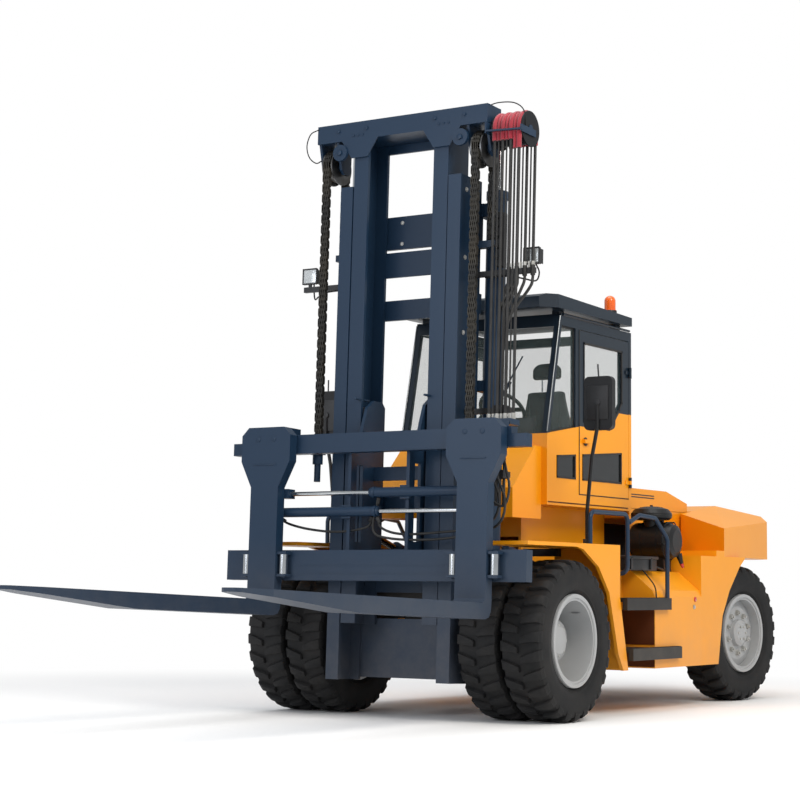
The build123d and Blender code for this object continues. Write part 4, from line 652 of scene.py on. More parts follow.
for side, name in per_side("rear_wheel_nuts"):
    bm = bmesh.new()
    for k in range(10):
        turn = 2 * math.pi * k / 10
        across, up = 0.170 * math.sin(turn), 0.170 * math.cos(turn)
        centre = (side * (REAR_TYRE_X + 0.084), WHEELBASE + across, TYRE_RADIUS + up)
        hex_nut(bm, centre, (side, 0, 0), 0.021, 0.024, stud=0.012)
    for k in range(6):
        turn = 2 * math.pi * (k + 0.5) / 6
        across, up = 0.058 * math.sin(turn), 0.058 * math.cos(turn)
        centre = (side * (REAR_TYRE_X + 0.136), WHEELBASE + across, TYRE_RADIUS + up)
        hex_nut(bm, centre, (side, 0, 0), 0.009, 0.008)
    wheel = "wheel_rear" + name[15:]
    finish_piece(name, bm, zinc, wheel, steered(side))
    bm = bmesh.new()
    lathe_x(bm, [(side * x, r) for x, r in LOCK_RING], (side * REAR_TYRE_X, WHEELBASE, TYRE_RADIUS))
    finish_piece("rear_lock_ring" + name[15:], bm, rim_silver, wheel, steered(side))

# %% [markdown]
# ## Leaf chains
# A lift chain is a leaf chain: stacks of flat plates with two holes, laced alternately on round pins. It
# has no rollers, so it runs over a plain grooved wheel. Every plate here is a flat stadium shape, and every
# second joint shifts the stack by one plate. The part over the wheel rides with the inner mast. The runs
# below it join two parts that move apart, and are baked in place as they stand, riding with neither.

# %% Chain links
CHAIN_WIDTH, CHAIN_DEPTH = 0.062, 0.034
PLATES = 8


def chain_plate(bm, x, thick, first, second):
    """One flat plate with round ends, from pin to pin."""
    first, second = Vector(first), Vector(second)
    along = (second - first).normalized()
    across = Vector((0, -along.z, along.y))
    radius = CHAIN_DEPTH / 2
    points = []
    for centre, start in ((first, 90), (second, 270)):
        for step in range(7):
            turn = math.radians(start + step * 30)
            points.append(centre + radius * (math.cos(turn) * along + math.sin(turn) * across))
    prism(bm, [(x, p.y, p.z) for p in points], (thick, 0, 0))


def chain_run(bm, side, pins):
    """Plates and pins along a line of pin places."""
    thick = CHAIN_WIDTH / PLATES
    left = side * CHAIN_X - CHAIN_WIDTH / 2
    for k, (first, second) in enumerate(zip(pins, pins[1:])):
        for layer in range(k % 2, PLATES, 2):
            chain_plate(bm, left + layer * thick + 0.0006, thick - 0.0012, first, second)
    for pin in pins:
        drum(bm, (left - 0.003, *pin[1:]), (left + CHAIN_WIDTH + 0.003, *pin[1:]), 0.0075, 10)


# Place of the wheel's middle along the truck and up, and the radius at which the chain lies
SHEAVE = (-0.425, 4.090, 0.125)
TOP_LINKS, FRONT_LINKS, REAR_LINKS = 12, 54, 16
FRONT_PIN_Z, REAR_PIN_Z = 1.955, 3.455
y, z, r = SHEAVE
turns = [math.pi * k / TOP_LINKS for k in range(TOP_LINKS + 1)]
arc = [(0, y - r * math.cos(turn), z + r * math.sin(turn)) for turn in turns]
front = [(0, y - r, z - (z - FRONT_PIN_Z) * k / FRONT_LINKS) for k in range(FRONT_LINKS + 1)]
rear = [(0, y + r, z - (z - REAR_PIN_Z) * k / REAR_LINKS) for k in range(REAR_LINKS + 1)]
for side, name in per_side("chain"):
    bm = bmesh.new()
    chain_run(bm, side, arc)
    over = finish_piece(name + "_over_wheel", bm, chain_steel, "mast_inner", MAST)
    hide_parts(name)
    bm = bmesh.new()
    chain_run(bm, side, front)
    run = finish_piece(name + "_front_run", bm, chain_steel, None, MAST)
    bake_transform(run)
    bm = bmesh.new()
    chain_run(bm, side, rear)
    run = finish_piece(name + "_rear_run", bm, chain_steel, None, MAST)
    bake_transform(run)

# %% [markdown]
# ## Mast hoses
# Four hoses and three thinner lines feed the carriage. They run over a drum at the mast's head, where
# crimson woven sleeves keep them from chafing. Each is one smooth tube, and as with the chains, its runs
# between the parts that move apart are baked in place as they stand.

# %% Hoses and sleeves over the drum
# Place of the drum's middle along the truck and up, and the radius at which the hoses lie
REEL = (-0.420, 4.200, 0.120)
LINES = [
    # x on the drum, radius of the hose, radius of its sleeve, in metres
    (0.800, 0.0110, 0.0190), (0.866, 0.0110, 0.0190), (0.932, 0.0110, 0.0190), (0.998, 0.0110, 0.0190),
    (0.833, 0.0060, 0.0130), (0.899, 0.0060, 0.0130), (0.965, 0.0060, 0.0130),
]
bm_arc, bm_front, bm_rear, bm_sleeve, bm_top, bm_low = (bmesh.new() for _ in range(6))
y, z, r = REEL
for x, radius, sleeve_radius in LINES:
    arc = [(x, y - r * math.cos(math.pi * k / 20), z + r * math.sin(math.pi * k / 20)) for k in range(21)]
    tube(bm_arc, arc, radius, 14)
    tube(bm_front, [(x, y - r, z - (z - HOSE_FOOT_Z) * k / 24) for k in range(25)], radius, 14)
    tube(bm_rear, [(x, y + r, z - (z - HOSE_ARM_Z) * k / 12) for k in range(13)], radius, 14)
    drop = 0.09 if x < 0.95 else 0.16
    sleeve = [(x, y - r, z - drop), (x, y - r, z - 0.04)] + arc + [(x, y + r, z - 0.04), (x, y + r, z - 0.09)]
    tube(bm_sleeve, sleeve, sleeve_radius, 16)
    drum(bm_low, (x, y - r, 2.085), (x, y - r, 2.140), radius * 1.45, 6, bevel=0.001)
    drum(bm_top, (x, y + r, 3.218), (x, y + r, 3.262), radius * 1.45, 6, bevel=0.001)
hoses = finish_piece("mast_hoses_over_drum", bm_arc, hose_rubber, "mast_inner", MAST)
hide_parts("hoses_lift")
finish_piece("mast_hose_sleeves", bm_sleeve, sleeve_red, "mast_inner", MAST)
finish_piece("hose_ends_on_carriage", bm_low, zinc, "carriage", MAST)
finish_piece("hose_ends_on_mast", bm_top, zinc, "mast_outer", MAST)
run = finish_piece("mast_hoses_front", bm_front, hose_rubber, None, MAST)
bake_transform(run)
run = finish_piece("mast_hoses_rear", bm_rear, hose_rubber, None, MAST)
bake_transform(run)

# %% [markdown]
# ## The mast's head
# A plate guards the hoses in front of their drum. Steel bolts hold the wear strips in the channels, and
# thin safety cables loop round the ends of the beam.

# %% Guard plate, cables and bolts on the inner mast
bm = bmesh.new()
GUARD = [(0.742, -0.585, 4.175), (1.040, -0.585, 4.160), (1.040, -0.560, 4.160), (0.742, -0.560, 4.175)]
END_PLATE = [(1.030, -0.585, 4.150), (1.036, -0.585, 4.150), (1.036, -0.36, 4.150), (1.030, -0.36, 4.150)]
prism(bm, GUARD, (0, 0, 0.012))
prism(bm, END_PLATE, (0, 0, 0.05))
block(bm, (0.735, -0.58, 4.165), (0.748, -0.40, 4.250), 0.003)
for x in (-0.55, -0.30, 0.30, 0.55):
    hex_nut(bm, (x, -0.556, 4.335), (0, -1, 0), 0.013, 0.010)
for side in (1, -1):
    for x in (0.335, 0.375, 0.415):
        drum(bm, (side * x, -0.556, 4.290), (side * x, -0.562, 4.290), 0.009, 16, bevel=0.001)
    hex_nut(bm, (side * MAST_SIDE, -0.570, 4.166), (0, -1, 0), 0.022, 0.016)
finish_piece("mast_head_guard", bm, blue, "mast_inner", MAST)
bm = bmesh.new()
loops = [
    # round the beam's right end, then over the hose drum on its left
    [(-0.735, -0.56, 4.37), (-0.800, -0.57, 4.34), (-0.825, -0.58, 4.25), (-0.800, -0.58, 4.16),
     (-0.742, -0.57, 4.11), (-0.700, -0.55, 4.13)],
    [(0.700, -0.50, 4.385), (0.800, -0.50, 4.402), (0.930, -0.50, 4.385), (1.010, -0.50, 4.320),
     (1.030, -0.50, 4.200)],
]
for loop in loops:
    tube(bm, smooth_line(loop), 0.0045, 8)
finish_piece("head_safety_cables", bm, cast_black, "mast_inner", MAST)

# %% [markdown]
# ## Grease and bolts on the channels
# Rollers run inside the channels on a film of grease, which browns with dust. It is drawn as thin skins,
# because a stain in the paint's own material would need a mask for each channel. Those behind the front
# flanges can be seen from behind. Those at the webs lie half a millimetre inside the steel, so they don't
# show. The bolts hold the wear pads and the cross ties.

# %% Greased webs and bolts
greasy = grained("greased_channel_web", "#1B1712", "#3B3023", 30.0, 0.002, Metallic=0.3, Roughness=0.35)
bm = bmesh.new()
for side in (1, -1):
    block(bm, (side * 0.3835, -0.509, 0.70), (side * 0.3825, -0.275, 4.19))
    block(bm, (side * 0.300, -0.5095, 0.70), (side * 0.380, -0.5085, 4.19))
finish_piece("greased_inner_webs", bm, greasy, "mast_inner", MAST)
bm = bmesh.new()
for side in (1, -1):
    for z in (0.9, 1.9, 2.75, 3.30, 3.80):
        for y in (-0.46, -0.32):
            hex_nut(bm, (side * MAST_SIDE, y, z), (side, 0, 0), 0.013, 0.010)
    for z in (3.50, 3.66):
        for x in (0.16, 0.34):
            hex_nut(bm, (side * x, -0.240, z), (0, -1, 0), 0.011, 0.008)
finish_piece("outer_mast_bolts", bm, zinc, "mast_outer", MAST)

# %% [markdown]
# ## Hose fittings on the outer mast
# The fixed hoses curl down from the lamp arm to the bundle, and a black valve block sits behind the chain.
# They are drawn as smooth tubes through a few points, because a pressurised hose never bends sharply.

# %% Curled hoses, clamps and valve block
# Each hose's place on the lamp arm, and in the bundle below
CURLS = ((0.800, 0.812), (0.866, 0.842), (0.932, 0.872), (0.998, 0.857))
bm = bmesh.new()
for k, (x, bundle_x) in enumerate(CURLS):
    low = 3.02 - 0.05 * k
    curl = [(x, -0.300, HOSE_ARM_Z), (x, -0.302, 3.13), (x - 0.01, -0.33, 3.06),
            (bundle_x + 0.02, -0.39, low), (bundle_x, -0.425, low - 0.12), (bundle_x, -0.432, low - 0.22)]
    tube(bm, smooth_line(curl), 0.011, 12)
    drum(bm, (x, -0.300, 3.16), (x, -0.300, 3.235), 0.0175, 6, bevel=0.001)
finish_piece("curled_mast_hoses", bm, hose_rubber, "mast_outer", MAST)
bm = bmesh.new()
block(bm, (0.705, -0.345, 3.235), (0.765, -0.265, 3.640), 0.010)
for z in (3.30, 3.38, 3.46, 3.54, 3.60):
    drum(bm, (0.735, -0.340, z), (0.735, -0.375, z), 0.015, 6, bevel=0.001)
    drum(bm, (0.735, -0.375, z), (0.735, -0.395, z), 0.009, 10)
for z in (1.72, 2.18):
    block(bm, (0.795, -0.485, z - 0.03), (0.895, -0.405, z + 0.03), 0.008)
finish_piece("mast_valve_block", bm, cast_black, "mast_outer", MAST)

# %% [markdown]
# ## Work lamps
# A work lamp has a grooved lens in a black frame, with rows of small reflectors behind it.

# %% Lamp lenses
bm = bmesh.new()
for side in (1, -1):
    low, high = sorted((side * 0.916, side * 1.029))
    block(bm, (low, -0.2795, 3.256), (high, -0.2745, 3.359), 0.001)
    for row in range(7):
        z = 3.262 + row * 0.0155
        drum(bm, (low + 0.002, -0.2800, z), (high - 0.002, -0.2800, z), 0.003, 8)
finish_piece("lamp_lenses", bm, lamp_glass, "mast_outer", MAST)
bm = bmesh.new()
for side in (1, -1):
    for x in (0.912, 1.033):
        hex_nut(bm, (side * x, -0.282, 3.250), (0, -1, 0), 0.004, 0.003)
        hex_nut(bm, (side * x, -0.282, 3.365), (0, -1, 0), 0.004, 0.003)
    cable = [(side * 0.975, -0.215, 3.26), (side * 0.99, -0.19, 3.20), (side * 0.97, -0.20, 3.14),
             (side * 0.90, -0.25, 3.15), (side * 0.80, -0.285, 3.17), (side * 0.60, -0.29, 3.175)]
    tube(bm, smooth_line(cable), 0.006, 8)
finish_piece("lamp_cables", bm, cast_black, "mast_outer", MAST)

# %% [markdown]
# ## Carriage fittings
# Hoses hang between the bars and feed the two cylinders that push the forks apart. Each end has a hexagon
# fitting. A smooth line through a few points gives a hose its sag, since it never bends sharply.

# %% Carriage hoses and fittings
ROUTES = [
    # from the shelf on the left, down behind the bars to the cylinders
    [(0.800, -0.545, 2.05), (0.810, -0.620, 1.99), (0.850, -0.676, 1.90), (0.900, -0.685, 1.72),
     (0.980, -0.685, 1.55), (0.950, -0.685, 1.40), (0.800, -0.685, 1.33), (0.500, -0.685, 1.30),
     (0.200, -0.690, 1.29), (0.050, -0.720, 1.33), (0.020, -0.745, 1.41)],
    [(0.866, -0.545, 2.05), (0.876, -0.620, 1.99), (0.910, -0.678, 1.88), (0.960, -0.690, 1.70),
     (1.030, -0.690, 1.52), (0.990, -0.690, 1.36), (0.800, -0.690, 1.29), (0.450, -0.690, 1.25),
     (0.100, -0.700, 1.26), (-0.020, -0.730, 1.32), (0.030, -0.745, 1.545)],
    [(0.932, -0.545, 2.05), (0.944, -0.620, 1.99), (0.980, -0.676, 1.90), (1.030, -0.685, 1.74),
     (1.060, -0.685, 1.60), (1.020, -0.688, 1.48), (0.920, -0.705, 1.52), (0.840, -0.745, 1.545)],
    # on the right, one from bar to bar and one to the lower cylinder
    [(-1.00, -0.702, 1.900), (-1.03, -0.690, 1.75), (-1.05, -0.690, 1.50), (-1.02, -0.690, 1.32),
     (-0.98, -0.702, 1.150)],
    [(-0.02, -0.740, 1.41), (-0.10, -0.700, 1.34), (-0.35, -0.690, 1.31), (-0.60, -0.690, 1.33),
     (-0.78, -0.700, 1.37), (-0.83, -0.740, 1.41)],
]
bm = bmesh.new()
for route in ROUTES:
    tube(bm, smooth_line(route, 12), 0.009, 10)
    for end, step in ((route[0], route[1]), (route[-1], route[-2])):
        end, step = Vector(end), Vector(step)
        drum(bm, end, end + (step - end).normalized() * 0.045, 0.014, 6, bevel=0.001)
finish_piece("carriage_hoses", bm, hose_rubber, "carriage", MAST)

# %% [markdown]
# ## Cylinder heads and weld seams
# Each of the two cylinders is closed by a screwed ring and a gland, and the bars are welded to the uprights.
# The seams stand only a millimetre and a half proud, so that the forks still slide past them.

# %% Positioner rings and weld seams
bm = bmesh.new()
for z, x0, x1 in ((1.585, -0.019, 0.85), (1.450, -0.85, 0.019)):
    for x in (x0 + 0.012, x1 - 0.012):
        drum(bm, (x - 0.014, -0.750, z), (x + 0.014, -0.750, z), 0.040, 32, bevel=0.003)
    gland = x0 if z > 1.5 else x1
    drum(bm, (gland - 0.02, -0.750, z), (gland + 0.02, -0.750, z), 0.033, 32, bevel=0.003)
finish_piece("positioner_rings", bm, blue, "carriage", MAST)
bm = bmesh.new()
for z in (1.005, 1.060):
    block(bm, (-0.62, -0.7955, z), (0.62, -0.792, z + 0.008))
for side in (1, -1):
    side_block(bm, side, (0.64, 0.25), (-0.7955, -0.792), (1.878, 1.884))
    block(bm, (side * 0.300 - 0.010, -0.60, 2.285), (side * 0.300 + 0.010, -0.42, 2.300), 0.003)
finish_piece("carriage_weld_seams", bm, blue, "carriage", MAST)

# %% [markdown]
# ## Fork bolts
# Each fork hangs from the upper bar by a hooked plate with two screws, and rolls along the lower bar on
# capped rollers. The screws slide with their own fork, so each side is a piece of its own.

# %% Fork hook bolts and roller caps
HOOK_Z, HOOK_FACE, ROLLER_Y = 1.979, -0.884, -0.836
for side, name in per_side("fork_bolts"):
    bm = bmesh.new()
    middle = side * FORK_X
    for x in (middle - 0.07, middle + 0.07):
        drum(bm, (x, -0.890, HOOK_Z), (x, HOOK_FACE, HOOK_Z), 0.019, 24, bevel=0.002)
        drum(bm, (x, -0.892, HOOK_Z), (x, HOOK_FACE, HOOK_Z), 0.010, 6)
    block(bm, (middle - 0.10, -0.892, 1.790), (middle + 0.10, HOOK_FACE, 1.797), 0.001)
    for x in (middle - 0.163, middle + 0.163):
        for z in (0.976, 1.160):
            drum(bm, (x, ROLLER_Y, z - 0.006), (x, ROLLER_Y, z + 0.006), 0.018, 6)
    finish_piece(name, bm, blue, "fork" + name[10:], MAST)

# %% [markdown]
# ## Gaskets and dark panes
# Rubber gaskets hold the panes, and the low panes of the doors and the cab look nearly black. A gasket is a
# thin strip laid along each edge of a pane's outline, so one helper makes them all.

# %% Gaskets round the windows
def gasket(bm, outline, x, width=0.014, depth=0.010):
    """A rubber strip that follows a (y, z) outline at a distance from the truck's middle."""
    points = [Vector((x, y, z)) for y, z in outline]
    for here, there in zip(points, points[1:] + points[:1]):
        along = (there - here).normalized()
        out = along.cross(Vector((1, 0, 0))).normalized() * width / 2
        ends = [here - along * width / 2 - out, here - along * width / 2 + out,
                there + along * width / 2 + out, there + along * width / 2 - out]
        prism(bm, ends, (depth, 0, 0))


# Outlines of the panes as (along the truck, up)
WINDOW = [(1.262, 2.240), (1.790, 2.305), (1.880, 2.380), (1.930, 2.440), (1.930, 2.860), (1.262, 2.860)]
LOW_DOOR = [(1.240, 1.787), (1.915, 1.790), (1.915, 2.028), (1.240, 1.977)]
LOW_CAB = [(0.816, 1.786), (1.112, 1.787), (1.112, 1.967), (0.816, 1.945)]
FRONT_QUARTER = [(0.720, 2.125), (1.115, 2.185), (1.115, 2.955), (0.868, 2.955)]
for side, name in per_side("door_gaskets"):
    bm = bmesh.new()
    for outline in (WINDOW, LOW_DOOR):
        gasket(bm, outline, side * CAB_SIDE - 0.005)
    # The dark disc between the panes is painted shade in the door latch's recess
    drum(bm, (side * 0.651, 1.282, 2.085), (side * 0.657, 1.282, 2.085), 0.034, 32, bevel=0.002)
    finish_piece(name, bm, hose_rubber, "door" + name[12:])
    bm = bmesh.new()
    prism(bm, [(side * 0.6405, y, z) for y, z in LOW_DOOR], (side * 0.003, 0, 0))
    finish_piece("dark_pane" + name[12:], bm, dark_glass, "door" + name[12:])
bm = bmesh.new()
for side in (1, -1):
    prism(bm, [(side * 0.6405, y, z) for y, z in LOW_CAB], (side * 0.003, 0, 0))
finish_piece("dark_cab_panes", bm, dark_glass, "chassis")
bm = bmesh.new()
for side in (1, -1):
    gasket(bm, LOW_CAB, side * CAB_SIDE - 0.005)
    gasket(bm, FRONT_QUARTER, side * 0.632 - 0.005)
    tube(bm, [(side * 0.652, 1.180, 1.665), (side * 0.652, 1.180, 2.955)], 0.004, 8)
    tube(bm, [(side * 0.652, 1.183, 1.668), (side * 0.652, 2.050, 1.668)], 0.004, 8)
finish_piece("cab_gaskets", bm, hose_rubber, "chassis")

# %% [markdown]
# ## Strips, wiper and gutters
# Bare aluminium strips cover the windscreen's corners, a wiper's arm swings on a shaft below the glass, and
# gutters keep rain off the doors. All are thin rods, so a tube through a few points is enough.

# %% Wiper, corner strips and gutters
# Brushed aluminium: its fine scratches spread the highlight, so it is pale but not a mirror.
aluminium = grained("brushed_aluminium_strip", "#8F9396", "#7F8386", 4.0, 0.0003, Metallic=0.9,
                    Roughness=0.35)
WIPER_ARM = [(0.02, 0.640, 2.120), (0.10, 0.645, 2.20), (0.24, 0.695, 2.42), (0.30, 0.722, 2.52)]
bm = bmesh.new()
for side in (1, -1):
    tube(bm, [(side * 0.651, 0.652, 2.125), (side * 0.651, 0.862, 3.030)], 0.005, 10)
finish_piece("windscreen_corner_strips", bm, aluminium, "chassis")
bm = bmesh.new()
tube(bm, smooth_line(WIPER_ARM), 0.008, 10)
tube(bm, [(0.20, 0.672, 2.34), (0.38, 0.760, 2.72)], 0.006, 8)
drum(bm, (0.02, 0.610, 2.110), (0.02, 0.665, 2.120), 0.026, 24, bevel=0.003)
for side in (1, -1):
    tube(bm, [(side * 0.655, 0.90, 3.046), (side * 0.655, 2.06, 3.046)], 0.010, 10)
tube(bm, [(-0.655, 0.88, 3.040), (0.655, 0.88, 3.040)], 0.010, 10)
finish_piece("wiper_and_gutters", bm, cab_blue, "chassis")

# %% [markdown]
# ## Inside the cab
# Levers, a display, a console and armrests are seen only through the glass. Rounded blocks and bars are
# enough at that distance, and smaller details would only add noise to the picture.

# %% Levers, display, armrests and console lamp
bm = bmesh.new()
for k in range(4):
    x = -0.40 + k * 0.065
    tube(bm, smooth_line([(x, 1.02, 2.05), (x, 1.06, 2.14), (x, 1.09, 2.23)], 6), 0.006, 8)
    drum(bm, (x, 1.085, 2.215), (x, 1.105, 2.262), 0.016, 16, bevel=0.006)
block(bm, (-0.43, 0.95, 1.75), (-0.17, 1.12, 2.05), 0.015)
block(bm, (0.20, 0.80, 2.08), (0.46, 0.84, 2.25), 0.012)
for side in (1, -1):
    block(bm, (side * 0.300 - 0.035, 1.44, 2.140), (side * 0.300 + 0.035, 1.80, 2.190), 0.018)
    drum(bm, (side * 0.300, 1.78, 2.165), (side * 0.262, 1.80, 2.165), 0.028, 20, bevel=0.004)
tube(bm, smooth_line([(0.0, 0.835, 2.06), (0.06, 0.86, 2.16), (0.12, 0.90, 2.20)], 6), 0.010, 10)
finish_piece("cab_controls", bm, plastic, "chassis")
bm = bmesh.new()
drum(bm, (0.03, 0.70, 2.085), (0.03, 0.70, 2.145), 0.045, 24, bevel=0.012)
finish_piece("console_lamp", bm, amber, "chassis")

# %% [markdown]
# ## The driver's seat
# The seat is foam under woven cloth, so it has no flat faces. Each cushion starts as a block a little
# smaller than its room, is remeshed, and is blown up as cloth under pressure with its movement capped. The
# sewn channels are pressed in afterwards, since the remeshing would erase them.

# %% How a cushion is made
# Sizes in metres. The pressure is the cloth solver's own measure.
VOXEL, PRESSURE, CHANNEL_DEPTH, CHANNEL_WIDTH = 0.009, 4.0, 0.009, 0.010


def applied(obj):
    """Bakes the modifiers of an object into its mesh."""
    graph = bpy.context.evaluated_depsgraph_get()
    mesh = bpy.data.meshes.new_from_object(obj.evaluated_get(graph))
    obj.modifiers.clear()
    obj.data = mesh


def cushion(name, outline, along, cap, channels, front):
    """A padded form from an outline, blown up as cloth, with channels pressed into its front."""
    bm = bmesh.new()
    prism(bm, outline, along, 0.022)
    obj = finish_piece(name, bm, seat_cloth, None)
    remesh = obj.modifiers.new("remesh", "REMESH")
    remesh.mode, remesh.voxel_size = "VOXEL", VOXEL
    applied(obj)
    start = [vert.co.copy() for vert in obj.data.vertices]
    cloth = obj.modifiers.new("cloth", "CLOTH")
    cloth.settings.use_pressure = True
    cloth.settings.uniform_pressure_force = PRESSURE
    cloth.settings.effector_weights.gravity = 0.0
    for step in range(1, 21):
        bpy.context.scene.frame_set(step)
    applied(obj)
    for vert, old in zip(obj.data.vertices, start):
        move = vert.co - old
        if move.length > cap:
            vert.co = old + move.normalized() * cap
    obj.modifiers.new("smooth", "SUBSURF").levels = 1
    applied(obj)
    bpy.context.scene.frame_set(1)
    middle = sum(vert.co[front] for vert in obj.data.vertices) / len(obj.data.vertices)
    sign = -1 if front == 1 else 1
    for vert in obj.data.vertices:
        if sign * (vert.co[front] - middle) > 0:
            for x in channels:
                vert.co[front] -= sign * CHANNEL_DEPTH * math.exp(-((vert.co.x - x) / CHANNEL_WIDTH) ** 2)
    obj.data.polygons.foreach_set("use_smooth", [True] * len(obj.data.polygons))
    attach(obj, "chassis")
    print(f"{name}: {len(obj.data.polygons)} faces after padding")
    return obj


print("cushions: voxels of", VOXEL, "m under a pressure of", PRESSURE)

# %% [markdown]
# ## Three cushions
# The back and the headrest are drawn as seen from the front, and the squab as seen from above. Each sits
# against something, so it starts thinner than its room and fills it as it swells.

# %% Squab, back and headrest
BACK = [(-0.215, 2.015), (0.215, 2.015), (0.252, 2.255), (0.170, 2.575), (-0.170, 2.575), (-0.252, 2.255)]
HEAD = [(-0.130, 2.658), (0.130, 2.658), (0.130, 2.752), (0.078, 2.792), (-0.078, 2.792), (-0.130, 2.752)]
SQUAB = [(-0.228, 1.385), (0.228, 1.385), (0.228, 1.800), (-0.228, 1.800)]
squab = cushion("seat_squab", [(x, y, 1.872) for x, y in SQUAB], (0, 0, 0.092), 0.018, (-0.13, 0.13), 2)
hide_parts("seat")
cushion("seat_back", [(x, 1.815, z) for x, z in BACK], (0, 0.070, 0), 0.020, (-0.14, 0.14), 1)
cushion("seat_headrest", [(x, 1.832, z) for x, z in HEAD], (0, 0.056, 0), 0.014, (), 1)

# %% [markdown]
# ## Seat frame and belt
# Two bright rods carry the headrest, a plate closes the back, and the belt ends in a buckle at the driver's
# side. They are hard parts, so they stay out of the cloth simulation.

# %% Seat frame and belt buckle
bm = bmesh.new()
for side in (1, -1):
    drum(bm, (side * 0.045, 1.86, 2.56), (side * 0.045, 1.86, 2.70), 0.007, 12)
block(bm, (-0.20, 1.868, 1.92), (0.20, 1.892, 2.30), 0.010)
finish_piece("seat_frame", bm, chrome, "chassis")
bm = bmesh.new()
belt = [(0.235, 1.80, 1.96), (0.255, 1.76, 2.00), (0.262, 1.70, 1.995)]
tube(bm, smooth_line(belt, 6), 0.010, 8)
block(bm, (0.248, 1.66, 1.975), (0.272, 1.71, 2.015), 0.004)
finish_piece("seat_belt_buckle", bm, plastic, "chassis")

# %% [markdown]
# ## Air cleaner
# Steel bands hold the air cleaner's drum to its bracket, clips hold its end on, and hose clamps close its
# ducts. A band is turned like a tyre, from a small section swept round the drum's own axis.

# %% Bands, clips and clamps
DRUM_Y, DRUM_Z, CAP_X, CAP_Y = 2.080, 1.325, 0.86, 2.04


def band(bm, x, half, inner, outer, y, steps):
    """A flat ring round an axis that runs across the truck."""
    section = [(x - half, inner), (x + half, inner), (x + half, outer), (x - half, outer)]
    lathe_x(bm, section, (0, y, DRUM_Z), steps)


bm = bmesh.new()
for x in (0.790, 0.930):
    band(bm, x, 0.014, 0.149, 0.1535, DRUM_Y, 64)
    block(bm, (x - 0.016, 2.062, 1.474), (x + 0.016, 2.098, 1.492), 0.003)
    drum(bm, (x, 2.040, 1.484), (x, 2.120, 1.484), 0.004, 8)
for turn in (20, 140, 260):
    across, up = math.sin(math.radians(turn)), math.cos(math.radians(turn))
    near = Vector((0.972, DRUM_Y + 0.160 * across, DRUM_Z + 0.160 * up))
    drum(bm, near, near + Vector((0.045, 0, 0)), 0.006, 8)
    drum(bm, near + Vector((0.045, 0, 0)), near + Vector((0.060, -0.02 * across, -0.02 * up)), 0.005, 8)
for x in (0.632, 0.684):
    band(bm, x, 0.006, 0.044, 0.0475, 2.185, 40)
drum(bm, (CAP_X, CAP_Y, 1.474), (CAP_X, CAP_Y, 1.486), 0.0635, 40, bevel=0.001)
drum(bm, (CAP_X, CAP_Y, 1.600), (CAP_X, CAP_Y, 1.616), 0.012, 6, bevel=0.001)
finish_piece("air_cleaner_bands", bm, cast_black, "chassis")

# %% [markdown]
# ## Inlet cap and dust valve
# The inlet's cap has fine ribs all round, so they are placed by an angle in a loop. At the bottom a soft
# valve with a red tip lets the caught dust out.

# %% Cap ribs and dust valve
bm = bmesh.new()
drum(bm, (CAP_X, CAP_Y, 1.526), (CAP_X, CAP_Y, 1.534), 0.1675, 64, bevel=0.002)
for k in range(24):
    turn = 2 * math.pi * k / 24
    low = (CAP_X + 0.150 * math.cos(turn), CAP_Y + 0.150 * math.sin(turn), 1.565)
    high = (CAP_X + 0.085 * math.cos(turn), CAP_Y + 0.085 * math.sin(turn), 1.595)
    drum(bm, low, high, 0.0035, 6)
drum(bm, (1.040, 2.165, 1.225), (1.058, 2.183, 1.145), 0.026, 20, 0.016, bevel=0.002)
finish_piece("air_cleaner_cap_ribs", bm, cast_black, "chassis")
bm = bmesh.new()
drum(bm, (1.058, 2.183, 1.146), (1.066, 2.191, 1.112), 0.018, 20, 0.009, bevel=0.002)
drum(bm, (1.179, 2.169, 0.862), (1.186, 2.169, 0.862), 0.020, 24, bevel=0.002)
finish_piece("red_valve_tip", bm, red_lens, "chassis")

# %% [markdown]
# ## Step teeth
# The steps have punched teeth, because boots bring mud and oil onto them. They are rows of small blocks at
# an even pitch, which costs few faces and still gives the edge its ragged look.

# %% Step teeth
TOOTH_PITCH, ROW_PITCH = 0.030, 0.0125
bm = bmesh.new()
for side in (1, -1):
    for y0, y1, z in ((0.860, 1.640, 0.872), (0.960, 1.830, 0.495)):
        for row in range(3):
            x_span = (1.1835 + row * ROW_PITCH, 1.1905 + row * ROW_PITCH)
            for k in range(int((y1 - y0) / TOOTH_PITCH)):
                y_span = (y0 + 0.008 + k * TOOTH_PITCH, y0 + 0.024 + k * TOOTH_PITCH)
                side_block(bm, side, x_span, y_span, (z - 0.001, z + 0.004))
finish_piece("step_teeth", bm, plastic, "chassis")

# %% [markdown]
# ## Battery box
# The battery stands in a dark box behind the steps, in reach of a person on the ground, with a lid, two
# clips and two cables that run to the frame.

# %% Battery box and cables
CABLES = [
    # points along the cable, radius
    ([(1.00, 1.72, 1.13), (1.02, 1.88, 1.10), (0.98, 1.98, 1.095), (0.90, 2.02, 1.09)], 0.008),
    ([(1.04, 1.47, 1.10), (1.10, 1.44, 1.05), (1.175, 1.43, 0.96), (1.186, 1.44, 0.85)], 0.005),
]
bm = bmesh.new()
block(bm, (0.700, 1.160, 1.081), (1.060, 1.720, 1.180), 0.010)
block(bm, (0.690, 1.150, 1.170), (1.070, 1.730, 1.195), 0.008)
for y in (1.25, 1.60):
    block(bm, (1.058, y - 0.018, 1.090), (1.070, y + 0.018, 1.185), 0.003)
for points, radius in CABLES:
    tube(bm, smooth_line(points), radius, 8)
finish_piece("battery_box", bm, cast_black, "chassis")
